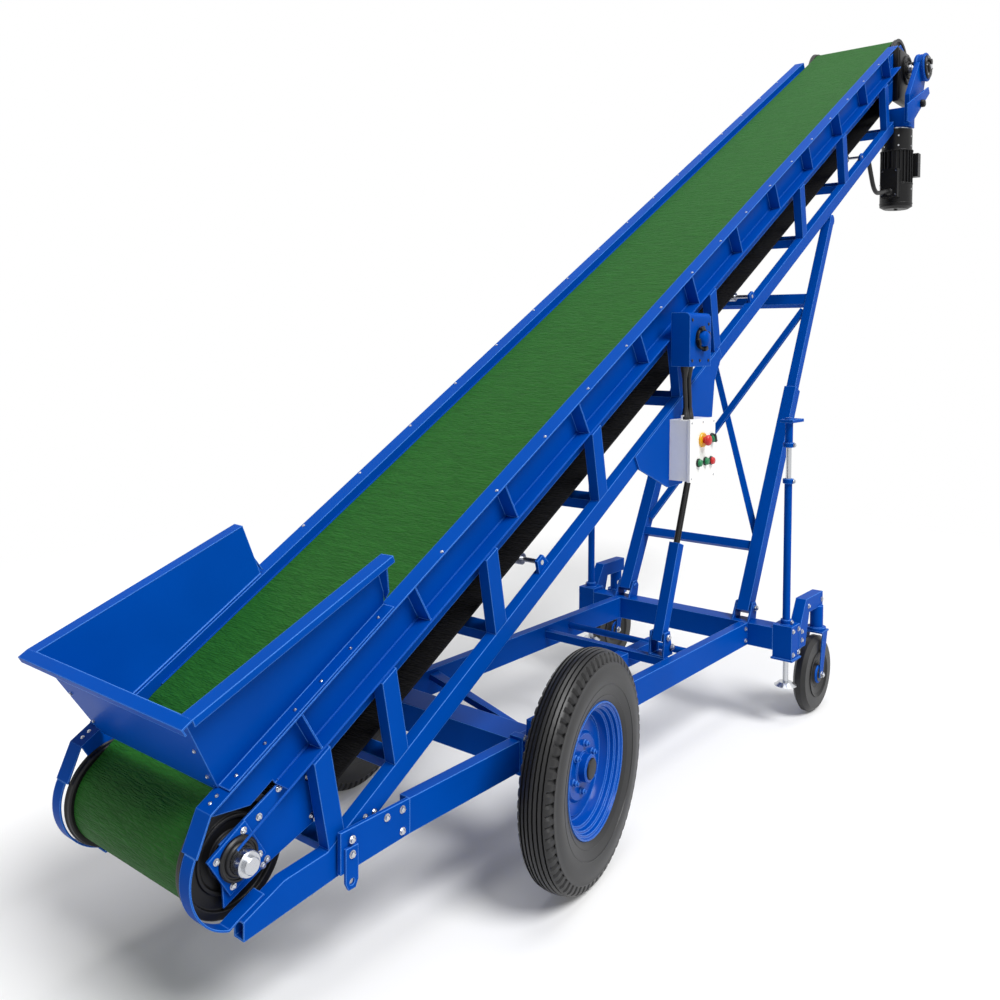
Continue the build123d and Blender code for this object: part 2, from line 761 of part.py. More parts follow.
with BuildPart() as axle_clamps:
    for side in (-1, 1):
        shape = [(beam_in, beam_top), (beam_in, beam_top + 12), (beam_out + 12, beam_top + 12),
                 (beam_out + 12, beam_low - 12), (beam_in, beam_low - 12), (beam_in, beam_low),
                 (beam_out, beam_low), (beam_out, beam_top)]
        plane = Plane(origin=(axle_beam_front, 0, 0), x_dir=(0, 1, 0), z_dir=(1, 0, 0))
        slab(plane, [(side * y, z) for y, z in shape], 30)
save(axle_clamps, "axle_clamps")

stub_in = wheel_y - beam_out - 24
with BuildPart() as spindle:
    for side in (-1, 1):
        across = turned(side)
        start = across.origin - across.x_dir * stub_in
        disc(Plane(origin=start, x_dir=across.y_dir, z_dir=across.x_dir), (0, 0), spindle_radius,
             stub_in + 48)
        low_y, high_y = sided(side, beam_out, beam_out + 44)
        block((start.X - 44, low_y, wheel_radius - 56), (start.X + 44, high_y, beam_top + 62))
save(spindle, "spindles")

# Jacks: a boxed housing, a barrel with clamp collars, a plated rod and a top sleeve
with BuildPart() as housing:
    for side in (-1, 1):
        y = side * jack_y
        block((jack_x - jack_box / 2, y - jack_box / 2, jack_box_low),
              (jack_x + jack_box / 2, y + jack_box / 2, jack_box_high))
        block((jack_x - jack_box / 2 - 6, y - jack_box / 2 - 6, jack_box_low - 8),
              (jack_x + jack_box / 2 + 6, y + jack_box / 2 + 6, jack_box_low))
        with Locations((jack_x, y, (jack_box_high + barrel_high) / 2)):
            Cylinder(barrel_radius, barrel_high - jack_box_high)
        with Locations((jack_x, y, barrel_high - 12), (jack_x, y, jack_box_high + 10)):
            Cylinder(barrel_radius + 8, 20)
        with Locations((jack_x, y, 400)):
            Cylinder(screw_radius + seat_gap, 400, mode=Mode.SUBTRACT)
save(housing, "jack_housings")

with BuildPart() as rod:
    for side in (-1, 1):
        y = side * jack_y
        with Locations((jack_x, y, (barrel_high + sleeve_high) / 2)):
            Cylinder(screw_radius, sleeve_high - barrel_high)
save(rod, "jack_rods")

with BuildPart() as sleeve:
    for side in (-1, 1):
        y = side * jack_y
        with Locations((jack_x, y, (chrome_high + sleeve_high) / 2)):
            Cylinder(barrel_radius, sleeve_high - chrome_high)
        with Locations((jack_x, y, chrome_high + 12)):
            Cylinder(barrel_radius + 8, 20)
        low_y, high_y = sided(side, jack_y - 30, jack_y + 30)
        block((jack_x - 30, low_y, sleeve_high - 22), (jack_x + 95, high_y, sleeve_high - 8))
        with Locations((jack_x, y, (chrome_high + sleeve_high) / 2)):
            Cylinder(screw_radius + run_gap, 400, mode=Mode.SUBTRACT)
save(sleeve, "jack_sleeves")

for side, word in ((-1, "near"), (1, "far")):
    y = side * jack_y
    with BuildPart() as screw:
        with Locations((jack_x, y, 390)):
            Cylinder(screw_radius, 390)
        with Locations((jack_x, y, 188)):
            Cone(50, 30, 16)
    save(screw, f"jack_screw_{word}")

# Swivel wheels on goosenecks behind the jack housings
arm_foot = jack_x + jack_box / 2
swivel_low = fork_top + seat_gap
with BuildPart() as arm:
    for side in (-1, 1):
        y = side * caster_y
        shape = [(arm_foot, 345), (arm_foot, 440), (arm_foot + 72, arm_top), (caster_x + 30, arm_top),
                 (caster_x + 30, arm_top - arm_deep), (arm_foot + 110,
                                                       arm_top - arm_deep), (arm_foot + 66, 345)]
        slab(frame_side(side * (caster_y - 8)), shape, arm_wide / 2, both=True)
        with Locations((caster_x, y, (swivel_low + arm_top - arm_deep) / 2 + 1)):
            Cylinder(30, arm_top - arm_deep - swivel_low + 2)
        with Locations((caster_x, y, swivel_low + 7)):
            Cylinder(44, 14)
        with Locations((caster_x, y, swivel_low + 30)):
            Cylinder(king_radius + run_gap, 62, mode=Mode.SUBTRACT)
save(arm, "caster_arms")

for side, word in ((-1, "near"), (1, "far")):
    y = side * caster_y
    axle_at = (caster_x + caster_trail, caster_radius)
    half = caster_width / 2 + fork_gap
    with BuildPart() as fork:
        block((caster_x - 42, y - half - fork_thick, fork_top - 8),
              (caster_x + 42, y + half + fork_thick, fork_top))
        with Locations((caster_x, y, fork_top + 28)):
            Cylinder(king_radius, 60)
        for hand in (-1, 1):
            blade = [(caster_x - 28, fork_top - 4), (caster_x + 28, fork_top - 4),
                     (axle_at[0] + 17, 165), (axle_at[0] - 17, 165)]
            slab(frame_side(y + hand * half), blade, -hand * fork_thick)
        disc(frame_side(y), axle_at, caster_pin, half + fork_thick + 8, both=True)
    save(fork, f"caster_fork_{word}")
    face = half - seat_gap
    caster_bore = caster_pin + run_gap
    with BuildPart() as caster:
        with BuildSketch(Plane(origin=(axle_at[0], y, axle_at[1]), x_dir=(0, 1, 0), z_dir=(1, 0, 0))):
            with BuildLine():
                Polyline((-31, 104), (-29, 158), (-13, 177), (13, 177), (29, 158), (31, 104), (13, 40),
                         (face, 34), (face, caster_bore), (-face, caster_bore), (-face, 34), (-13, 40),
                         close=True)
            make_face()
        revolve(axis=Axis((axle_at[0], y, axle_at[1]), (0, 1, 0)))
    save(caster, f"caster_wheel_{word}")

# Rear leg frame: stepped legs, two cross bars and crossed braces
leg_reach = hypot(leg_head[0] - leg_foot[0], leg_head[1] - leg_foot[1])
lean = atan2(leg_head[0] - leg_foot[0], leg_head[1] - leg_foot[1])
head_gap = chord_low - shoe_gap - to_boom(*leg_head)[1]


def on_leg(along, aside=0):
    return (leg_foot[0] + along * sin(lean) + aside * cos(lean),
            leg_foot[1] + along * cos(lean) - aside * sin(lean))


with BuildPart() as leg:
    for side in (-1, 1):
        y = side * leg_y
        bar(frame_side(y), on_leg(-26), on_leg(leg_split), leg_wide, leg_wide)
        bar(frame_side(y), on_leg(leg_split), on_leg(leg_reach), leg_slim, leg_slim)
        disc(frame_side(y), leg_head, head_gap, leg_slim / 2, both=True)
        disc(frame_side(y), leg_foot, leg_pin + run_gap, leg_wide, both=True, mode=Mode.SUBTRACT)
save(leg, "legs")

bar_rows = ((290, 40, 40), (1640, 40, 62))
with BuildPart() as crossbars:
    for along, thick, tall in bar_rows:
        half_leg = leg_wide / 2 if along < leg_split else leg_slim / 2
        centre = on_leg(along)
        bar(frame_side(0), on_leg(along - tall / 2), on_leg(along + tall / 2), thick,
            2 * (leg_y - half_leg))
save(crossbars, "leg_crossbars")

with BuildPart() as leg_braces:
    for side, shift in ((-1, -9), (1, 9)):
        a = on_leg(1580, shift)
        b = on_leg(360, shift)
        stick((a[0], side * (leg_y - leg_slim / 2 - 4), a[1]),
              (b[0], -side * (leg_y - leg_wide / 2 - 4), b[1]), [(-16, -8.8), (16, -8.8), (16, 8.8),
                                                                 (-16, 8.8)], (0, cos(lean), 0.4))
    wide = leg_wide + 2 * seat_gap
    slim = leg_slim + 2 * seat_gap
    for side in (-1, 1):
        bar(frame_side(side * leg_y), on_leg(0), on_leg(leg_split), wide, wide, mode=Mode.SUBTRACT)
        bar(frame_side(side * leg_y), on_leg(leg_split), on_leg(leg_reach), slim, slim,
            mode=Mode.SUBTRACT)
save(leg_braces, "leg_braces")

with BuildPart() as leg_brackets:
    for side in (-1, 1):
        for hand in (-1, 1):
            y = side * leg_y + hand * (leg_wide / 2 + lug_gap)
            ear = [(beam_rear + 8, beam_top), (beam_rear + rear_beam_wide, beam_top), (1712, 500),
                   (1696, 524), (1664, 524)]
            slab(frame_side(y), ear, -hand * lug_thick)
        disc(frame_side(side * leg_y), leg_foot, leg_pin, leg_wide / 2 + lug_gap + lug_thick + 4,
             both=True)
save(leg_brackets, "leg_brackets")

# Prop: a square tube hinged on the sub-frame and a sliding bar up to the near gusset
prop_run = hypot(eye[0] - prop_foot[0], eye[1] - prop_foot[1])


def on_prop(along):
    share = along / prop_run
    return (prop_foot[0] + share * (eye[0] - prop_foot[0]),
            prop_foot[1] + share * (eye[1] - prop_foot[1]))


tube_long = 395
slide_in = 160
bar_radius = 9.3
with BuildPart() as prop_tube:
    bar(frame_side(prop_y), on_prop(-22), on_prop(tube_long), prop_wide, prop_wide)
    inner_wide = prop_wide - 2 * prop_wall
    bar(frame_side(prop_y), on_prop(60), on_prop(tube_long + 1), inner_wide, inner_wide,
        mode=Mode.SUBTRACT)
    disc(frame_side(prop_y), prop_foot, prop_pin + run_gap, prop_wide, both=True, mode=Mode.SUBTRACT)
save(prop_tube, "prop_tube")

with BuildPart() as prop_rod:
    start = on_prop(tube_long - slide_in)
    finish = on_prop(prop_run)
    along = (finish[0] - start[0], 0, finish[1] - start[1])
    with BuildSketch(Plane(origin=(start[0], prop_y, start[1]), x_dir=(0, 1, 0), z_dir=along)) as section:
        with Locations((0, -9), (0, 9)):
            Circle(bar_radius)
    extrude(section.sketch, amount=prop_run - tube_long + slide_in)
    disc(frame_side(prop_y), eye, 22, prop_wide / 2 - 5, both=True)
    disc(frame_side(prop_y), eye, prop_pin + run_gap, prop_wide, both=True, mode=Mode.SUBTRACT)
save(prop_rod, "prop_rod")

with BuildPart() as prop_bracket:
    for hand in (-1, 1):
        y = prop_y + hand * (prop_wide / 2 + lug_gap)
        ear = [(tube_a - 17, 424), (tube_a + 60, 424), (prop_foot[0] + 22, prop_foot[1] + 22),
               (prop_foot[0] - 22, prop_foot[1] + 22)]
        slab(frame_side(y), ear, -hand * lug_thick)
    reach = prop_wide / 2 + lug_gap + lug_thick
    disc(frame_side(prop_y), prop_foot, prop_pin, reach + 4, both=True)
    block((tube_a - 17, prop_y - reach, 424), (tube_a + 60, prop_y + reach, 432))
save(prop_bracket, "prop_bracket")

# Road wheels: rounded tyre on a stepped, dished rim with a hub and its cap
half_tyre = tyre_width / 2
rim_wide_half = 68
bead_seat = bead_radius - seat_gap
bore = spindle_radius + run_gap
tyre_outline = ((-54, bead_radius), (-half_tyre, 292), (-58, 364), (0, wheel_radius), (58, 364),
                (half_tyre, 292), (54, bead_radius))
rim_outline = ((-rim_wide_half, rim_radius + 4), (-54, bead_seat), (54, bead_seat),
               (rim_wide_half, rim_radius + 4), (58, 200), (28, 188), (22, 166), (-12, 150), (-12, 66),
               (62, hub_radius - 4), (68, 38), (90, 32), (90, 0), (50, 0), (50, bore),
               (-half_tyre, bore), (-half_tyre, hub_radius), (-24, hub_radius), (-28, 162), (-58, 200))
for side, word in ((-1, "near"), (1, "far")):
    across = turned(side)
    for outline, name in ((tyre_outline, "tyre"), (rim_outline, "rim")):
        with BuildPart() as ring:
            with BuildSketch(across) as section:
                with BuildLine():
                    Polyline(*outline, close=True)
                make_face()
            revolve(section.sketch, axis=Axis(across.origin, across.x_dir))
        save(ring, f"{name}_{word}")
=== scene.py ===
import json
from math import atan2, cos, pi, radians, sin
import bmesh
import bpy
from mathutils import Euler, Matrix, Vector

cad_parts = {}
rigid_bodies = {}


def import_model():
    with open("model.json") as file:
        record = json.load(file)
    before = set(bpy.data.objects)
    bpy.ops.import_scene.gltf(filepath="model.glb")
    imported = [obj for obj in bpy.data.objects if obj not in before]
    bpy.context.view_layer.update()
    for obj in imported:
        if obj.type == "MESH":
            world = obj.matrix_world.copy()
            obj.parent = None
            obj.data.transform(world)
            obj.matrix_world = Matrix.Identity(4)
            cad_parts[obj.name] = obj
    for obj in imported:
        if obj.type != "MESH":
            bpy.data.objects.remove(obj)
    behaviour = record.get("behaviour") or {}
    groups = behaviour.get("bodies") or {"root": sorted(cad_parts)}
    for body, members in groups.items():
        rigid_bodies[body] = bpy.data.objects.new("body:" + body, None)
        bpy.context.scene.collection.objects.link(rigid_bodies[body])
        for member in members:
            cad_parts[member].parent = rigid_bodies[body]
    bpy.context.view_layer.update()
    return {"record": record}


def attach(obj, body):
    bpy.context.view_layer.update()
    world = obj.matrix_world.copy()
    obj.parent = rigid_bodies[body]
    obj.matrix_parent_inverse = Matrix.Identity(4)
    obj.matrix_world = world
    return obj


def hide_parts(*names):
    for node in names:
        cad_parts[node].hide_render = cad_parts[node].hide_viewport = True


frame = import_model()

scene = bpy.context.scene
originX = 1.40935    # the road axle lies this far behind the frame's origin
incline = radians(30.7)


def linear(code):
    # sRGB hex text to the linear colour that shader sockets take
    parts = [int(code[i:i + 2], 16) / 255 for i in (1, 3, 5)]
    return tuple(c / 12.92 if c <= 0.04045 else ((c + 0.055) / 1.055) ** 2.4 for c in parts) + (1.0,)


def feed(tree, target, **sockets):
    # plain values or links for a node's sockets, by label or, as i0, i1 and so on, by place
    for name, value in sockets.items():
        byPlace = name[0] == "i" and name[1:].isdigit()
        socket = target.inputs[int(name[1:]) if byPlace else name.replace("_", " ")]
        if isinstance(value, bpy.types.NodeSocket):
            tree.links.new(value, socket)
        else:
            socket.default_value = value


def node(tree, kind, settings=None, **sockets):
    # one shader node: plain settings first, then its sockets
    made = tree.nodes.new(kind)
    for name, value in (settings or {}).items():
        setattr(made, name, value)
    feed(tree, made, **sockets)
    return made


def surface(name):
    # a fresh material with its shader, output and object coordinates
    material = bpy.data.materials.new(name)
    material.use_nodes = True
    tree = material.node_tree
    tree.nodes.clear()
    shader = node(tree, "ShaderNodeBsdfPrincipled")
    output = node(tree, "ShaderNodeOutputMaterial")
    tree.links.new(shader.outputs["BSDF"], output.inputs["Surface"])
    place = node(tree, "ShaderNodeTexCoord").outputs["Object"]
    return material, tree, shader, place


def twoTone(tree, factor, first, second):
    ramp = node(tree, "ShaderNodeValToRGB", None, Fac=factor)
    ramp.color_ramp.elements[0].color = linear(first)
    ramp.color_ramp.elements[1].color = linear(second)
    return ramp.outputs["Color"]


def stand(place, axis, spin=0.0):
    # matrix that takes a piece drawn up +Z and stands it on a place, facing an axis
    turn = Vector(axis).to_track_quat("Z", "Y").to_matrix().to_4x4()
    return Matrix.Translation(place) @ turn @ Matrix.Rotation(spin, 4, "Z")


def boomPoint(along, across, up):
    # belt coordinates to the frame: along the belt, across it and square to it
    return Vector((along * cos(incline) - up * sin(incline) - originX, across,
                   along * sin(incline) + up * cos(incline)))


boomAlong = Vector((cos(incline), 0, sin(incline)))
boomUp = Vector((-sin(incline), 0, cos(incline)))
# belt coordinates along and up of each drum's shaft, and the drum's radius
drums = {"tail": (-0.738, 0.984, 0.147), "head": (5.245, 0.988, 0.172)}


def drum(bm, matrix, low, high, foot, height, segments=32):
    # closed round piece: radius low at its foot and high at its top
    bmesh.ops.create_cone(bm, cap_ends=True, segments=segments, radius1=low, radius2=high, depth=height,
                          matrix=matrix @ Matrix.Translation((0, 0, foot + height / 2)))


def lathe(bm, matrix, outline, segments=64):
    # closed outline of (height, radius) pairs turned about the matrix's own Z axis
    ring = [bm.verts.new(matrix @ Vector((radius, 0, height))) for height, radius in outline]
    edges = [bm.edges.new((ring[i - 1], ring[i])) for i in range(len(ring))]
    bmesh.ops.spin(bm, geom=ring + edges, cent=matrix.translation, axis=matrix.to_3x3() @ Vector((0, 0, 1)),
                   angle=2 * pi, steps=segments, use_merge=True)


def plate(bm, matrix, size, foot=0.0):
    # plain plate standing on the matrix's XY plane
    bmesh.ops.create_cube(bm, size=1.0, matrix=matrix @ Matrix.Translation((0, 0, foot + size[2] / 2))
                          @ Matrix.Diagonal((size[0], size[1], size[2], 1.0)))


def prism(bm, outline, near, far):
    # upright plate: an outline of (x, z) pairs between two cross positions
    ring = [bm.verts.new((x, near, z)) for x, z in outline]
    face = bm.faces.new(ring)
    grown = bmesh.ops.extrude_face_region(bm, geom=[face])
    moved = [item for item in grown["geom"] if isinstance(item, bmesh.types.BMVert)]
    bmesh.ops.translate(bm, verts=moved, vec=(0, far - near, 0))


def finishPiece(name, bm, material, body, smooth=35, bevelMm=0.0):
    # mesh object from a bmesh: sealed, normals out, edges eased, riding on its body
    bmesh.ops.remove_doubles(bm, verts=bm.verts, dist=0.000005)
    bmesh.ops.recalc_face_normals(bm, faces=bm.faces)
    if bevelMm:
        sharp = [e for e in bm.edges if len(e.link_faces) == 2 and e.calc_face_angle(0) > radians(smooth)]
        bmesh.ops.bevel(bm, geom=sharp, offset=bevelMm / 1000, segments=2, affect="EDGES", profile=0.6,
                        clamp_overlap=True)
    for face in bm.faces:
        face.smooth = True
    for edge in bm.edges:
        edge.smooth = len(edge.link_faces) != 2 or edge.calc_face_angle(0) < radians(smooth)
    mesh = bpy.data.meshes.new(name)
    bm.to_mesh(mesh)
    bm.free()
    piece = bpy.data.objects.new(name, mesh)
    scene.collection.objects.link(piece)
    mesh.materials.append(material)
    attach(piece, body)
    return piece


def turnedPiece(name, matrix, material, body, smooth=35, segments=64, outline=()):
    # finished piece made of one turned outline
    bm = bmesh.new()
    lathe(bm, matrix, outline, segments)
    return finishPiece(name, bm, material, body, smooth)


# Camera: the photograph's own place and lens, level but for a slight roll
lens = {"focalMm": 34.667, "place": (-2.5296 - originX, -2.2432, 1.7333), "yaw": 39.034, "pitch": 2.290,
        "roll": 0.199, "shift": -0.11888}
cameraData = bpy.data.cameras.new("photoCamera")
cameraData.sensor_width = 36.0
cameraData.lens = lens["focalMm"]
cameraData.shift_y = lens["shift"]
camera = bpy.data.objects.new("photoCamera", cameraData)
aim = Euler((radians(90 - lens["pitch"]), 0, radians(lens["yaw"] - 90))).to_matrix()
aim = aim @ Matrix.Rotation(radians(lens["roll"]), 3, "Z")
camera.rotation_euler = aim.to_euler()
camera.location = lens["place"]
scene.collection.objects.link(camera)
scene.camera = camera

# Sprayed gloss enamel: deep even blue, faint orange peel, soft patches of sheen, eased edges and a painted
# highlight: a lighter tone mixed into the colour along every edge
paint = {"low": "#00429c", "high": "#004bad", "peelMm": 3.0, "patchMm": 220.0, "rough": (0.28, 0.40),
         "bumpMm": 0.02, "edgeMm": 5.0, "edgeHighlightAmount": 0.85}


def makePaint(name, low, high, edgeHighlightTone, rough, specular):
    material, tree, shader, place = surface(name)
    patch = node(tree, "ShaderNodeTexNoise", None, Vector=place, Scale=1000 / paint["patchMm"], Detail=3.0)
    peel = node(tree, "ShaderNodeTexNoise", None, Vector=place, Scale=1000 / paint["peelMm"], Detail=1.0)
    sheen = node(tree, "ShaderNodeMapRange", None, Value=patch.outputs["Fac"], To_Min=rough[0],
                 To_Max=rough[1])
    eased = node(tree, "ShaderNodeBevel", {"samples": 6}, Radius=paint["edgeMm"] / 1000)
    flat = node(tree, "ShaderNodeNewGeometry")
    turn = node(tree, "ShaderNodeVectorMath", {"operation": "DOT_PRODUCT"}, i0=eased.outputs["Normal"],
                i1=flat.outputs["Normal"])
    # Painted highlight: along every edge, where the eased normal turns away from the flat one, a lighter
    # tone is mixed into the colour
    paintedEdgeHighlight = node(tree, "ShaderNodeMapRange", None, Value=turn.outputs["Value"], From_Min=0.99, From_Max=0.86,
               To_Min=0.0, To_Max=paint["edgeHighlightAmount"])
    tone = node(tree, "ShaderNodeMix", {"data_type": "RGBA"}, i0=paintedEdgeHighlight.outputs["Result"],
                i6=twoTone(tree, patch.outputs["Fac"], low, high), i7=linear(edgeHighlightTone)).outputs[2]
    bump = node(tree, "ShaderNodeBump", None, Strength=0.25, Distance=paint["bumpMm"] / 1000,
                Height=peel.outputs["Fac"], Normal=eased.outputs["Normal"])
    feed(tree, shader, Base_Color=tone, Roughness=sheen.outputs["Result"], Normal=bump.outputs["Normal"],
         Specular_IOR_Level=specular)
    return material


# The third colour of each paint is its painted edge highlight
bluePaint = makePaint("bluePaint", paint["low"], paint["high"], "#5c9bf2", paint["rough"], 0.02)
rimPaint = makePaint("rimPaint", "#003f99", "#0049aa", "#5c9bf2", (0.16, 0.24), 0.1)
blackPaint = makePaint("blackPaint", "#0b0b0c", "#131314", "#2c2c2e", (0.34, 0.46), 0.25)

# Textured rubber belt: green carrying face with fine crosswise wrinkles, black back and edges; the return
# run past the tail drum is all black, its real black back together with painted shade over its green outer
# face
belting = {"dark": "#0b3c0a", "light": "#225f1f", "black": "#121213", "wrinkleMm": 13.0, "cellMm": 7.0,
           "bumpMm": 5.0, "turnS": -1.90, "underT": 1.60, "edgeY": 0.2492}
beltRubber, tree, shader, place = surface("beltRubber")
laid = node(tree, "ShaderNodeMapping", None, Vector=place, Rotation=(0, incline, 0)).outputs["Vector"]
apart = node(tree, "ShaderNodeSeparateXYZ", None, Vector=laid)
stretched = node(tree, "ShaderNodeMapping", None, Vector=laid, Scale=(1.0, 0.16, 1.0)).outputs["Vector"]
wrinkle = node(tree, "ShaderNodeTexNoise", None, Vector=stretched, Scale=1000 / belting["wrinkleMm"],
               Detail=5.0, Distortion=0.6)
cells = node(tree, "ShaderNodeTexVoronoi", {"feature": "DISTANCE_TO_EDGE"}, Vector=stretched,
             Scale=1000 / belting["cellMm"])
cellLow = node(tree, "ShaderNodeMapRange", None, Value=cells.outputs["Distance"], From_Max=0.25,
               To_Max=0.22)
height = node(tree, "ShaderNodeMath", {"operation": "ADD"}, i0=wrinkle.outputs["Fac"],
              i1=cellLow.outputs["Result"])
bump = node(tree, "ShaderNodeBump", None, Strength=1.0, Distance=belting["bumpMm"] / 1000,
            Height=height.outputs[0])
# Return-run mask: below the top run and past the tail drum the belt turns black, partly its black back and
# partly painted shade on the green face
under = node(tree, "ShaderNodeMath", {"operation": "LESS_THAN"}, i0=apart.outputs["Z"],
             i1=belting["underT"])
past = node(tree, "ShaderNodeMath", {"operation": "GREATER_THAN"}, i0=apart.outputs["X"],
            i1=belting["turnS"])
returnRunBackAndShade = node(tree, "ShaderNodeMath", {"operation": "MULTIPLY"}, i0=under.outputs[0], i1=past.outputs[0])
wide = node(tree, "ShaderNodeMath", {"operation": "ABSOLUTE"}, i0=apart.outputs["Y"])
edge = node(tree, "ShaderNodeMath", {"operation": "GREATER_THAN"}, i0=wide.outputs[0], i1=belting["edgeY"])
dark = node(tree, "ShaderNodeMath", {"operation": "MAXIMUM"}, i0=returnRunBackAndShade.outputs[0], i1=edge.outputs[0])
green = twoTone(tree, height.outputs[0], belting["dark"], belting["light"])
beltColour = node(tree, "ShaderNodeMix", {"data_type": "RGBA"}, i0=dark.outputs[0], i6=green,
                  i7=linear(belting["black"])).outputs[2]
feed(tree, shader, Base_Color=beltColour, Roughness=0.6, Specular_IOR_Level=0.12,
     Normal=bump.outputs["Normal"])


def makeRubber(name, low, high, rough):
    # matte rubber with a dusty bloom and a fine moulded grain
    material, tree, shader, place = surface(name)
    bloom = node(tree, "ShaderNodeTexNoise", None, Vector=place, Scale=22.0, Detail=4.0)
    grain = node(tree, "ShaderNodeTexNoise", None, Vector=place, Scale=700.0, Detail=2.0)
    bump = node(tree, "ShaderNodeBump", None, Strength=0.3, Distance=0.0003, Height=grain.outputs["Fac"])
    feed(tree, shader, Base_Color=twoTone(tree, bloom.outputs["Fac"], low, high), Roughness=rough,
         Specular_IOR_Level=0.4, Normal=bump.outputs["Normal"])
    return material


tyreRubber = makeRubber("tyreRubber", "#111112", "#1b1b1c", 0.42)
sheathRubber = makeRubber("sheathRubber", "#0f0f10", "#171718", 0.42)


def makePlastic(name, code, rough):
    # moulded plastic or powder coat: one colour, slightly clouded, with a faint pebble
    material, tree, shader, place = surface(name)
    cloud = node(tree, "ShaderNodeTexNoise", None, Vector=place, Scale=60.0, Detail=2.0)
    tint = node(tree, "ShaderNodeMapRange", None, Value=cloud.outputs["Fac"], To_Min=0.94, To_Max=1.0)
    colour = node(tree, "ShaderNodeMix", {"data_type": "RGBA", "blend_type": "MULTIPLY"}, i0=1.0,
                  i6=linear(code), i7=tint.outputs["Result"]).outputs[2]
    pebble = node(tree, "ShaderNodeTexNoise", None, Vector=place, Scale=900.0, Detail=1.0)
    bump = node(tree, "ShaderNodeBump", None, Strength=0.2, Distance=0.0001, Height=pebble.outputs["Fac"])
    feed(tree, shader, Base_Color=colour, Roughness=rough, Normal=bump.outputs["Normal"])
    return material


whiteCase = makePlastic("whiteCase", "#fbfbf8", 0.38)
redPlastic = makePlastic("redPlastic", "#c41a1c", 0.3)
greenPlastic = makePlastic("greenPlastic", "#0f7a48", 0.3)
yellowPlastic = makePlastic("yellowPlastic", "#e3a70c", 0.35)

# Zinc-plated and polished steel: bright grey with fine turned marks
zincPlate, tree, shader, place = surface("zincPlate")
marks = node(tree, "ShaderNodeTexNoise", None, Vector=place, Scale=400.0, Detail=2.0)
gloss = node(tree, "ShaderNodeMapRange", None, Value=marks.outputs["Fac"], To_Min=0.2, To_Max=0.36)
feed(tree, shader, Base_Color=linear("#c2c4c8"), Metallic=1.0, Roughness=gloss.outputs["Result"])

finishes = {"blue_paint": bluePaint, "belt_rubber": beltRubber, "tyre": tyreRubber,
            "black_paint": blackPaint, "white_case": whiteCase, "zinc": zincPlate,
            "black_sheath": sheathRubber}
for part in frame["record"]["subparts"]:
    carried = bpy.data.objects[part["node"]]
    carried.data.materials.clear()
    carried.data.materials.append(finishes[part["material_slot"]])
print("materials on the carried nodes")

# Cords: three black sheathed runs, each following the route that its CAD tube has
cordSizes = {"boxRadius": 0.009, "leadRadius": 0.013, "boxRows": (0.926, 0.962),
             "boxLevels": (1.622, 1.446)}


def addCord(name, points, radius, replaced):
    curve = bpy.data.curves.new(name, "CURVE")
    curve.dimensions = "3D"
    spline = curve.splines.new("NURBS")
    spline.points.add(len(points) - 1)
    for control, place in zip(spline.points, points):
        control.co = (*place, 1.0)
    spline.order_u = 3
    spline.use_endpoint_u = True
    spline.resolution_u = 16
    curve.bevel_depth = radius
    curve.bevel_resolution = 5
    curve.use_fill_caps = True
    curve.materials.append(sheathRubber)
    cord = bpy.data.objects.new(name, curve)
    scene.collection.objects.link(cord)
    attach(cord, "boom")
    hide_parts(replaced)
    return cord


for number, row in enumerate(cordSizes["boxRows"]):
    x = row - originX
    high, low = cordSizes["boxLevels"]
    drop = (high - low) / 3
    route = [(x, -0.392, high), (x, -0.392, high - 0.9 * drop), (x + 0.003, -0.396, high - 2.1 * drop),
             (x + 0.003, -0.396, low)]
    cord = addCord(f"boxCord{number + 1}", route, cordSizes["boxRadius"], f"box_cord_{number + 1}")

# The motor hangs below the gear case, which stands on the head drum's shaft
headAlong, headUp = drums["head"][:2]
gearX = headAlong * cos(incline) - headUp * sin(incline) - originX
gearZ = headAlong * sin(incline) + headUp * cos(incline)
motor = {"x": gearX - 0.222, "y": -0.330, "top": gearZ - 0.457, "radius": 0.098, "long": 0.490}
boxX = motor["x"] - motor["radius"] - 0.044
boxZ = motor["top"] - motor["long"] + 0.092
low = boomPoint(4.250, -0.324, 0.588)
bend = boomPoint(4.262, -0.321, 0.668)
top = boomPoint(4.262, -0.321, 0.738)
route = [(boxX, -0.330, boxZ), (boxX - 0.055, -0.330, boxZ), (boxX - 0.130, -0.327, boxZ - 0.020),
         low + Vector((0.040, 0, -0.040)), bend, top]
cord = addCord("motorLead", route, cordSizes["leadRadius"], "motor_lead")
print("cords")

# Road tyres: ribbed tread with wavy grooves, notched shoulders and ringed side walls
tyre = {"radius": 0.375, "crownDrop": 0.0115, "treadHalf": 0.047, "grooves": (0.0070, 0.0210, 0.0350),
        "grooveHalf": 0.0027, "grooveDeep": 0.0075, "waves": 88, "waveMm": 0.45, "segments": 264,
        "notchEvery": 4, "notchDeep": 0.0075, "notchIn": 0.0035, "notchFrom": 0.335,
        "notchBand": (0.043, 0.0560), "waveFrom": 0.3575, "waveWithin": 0.039, "across": 0.545, "turn": 9.5}
sides = ((-1, "near"), (1, "far"))


def wheelPlace(side):
    # middle of a road wheel and the way its stub axle points
    outward = Vector((-side * sin(radians(tyre["turn"])), side * cos(radians(tyre["turn"])), 0))
    return Vector((-originX, side * tyre["across"], tyre["radius"])), outward


def crown(across):
    return tyre["radius"] - tyre["crownDrop"] * (across / tyre["treadHalf"]) ** 2


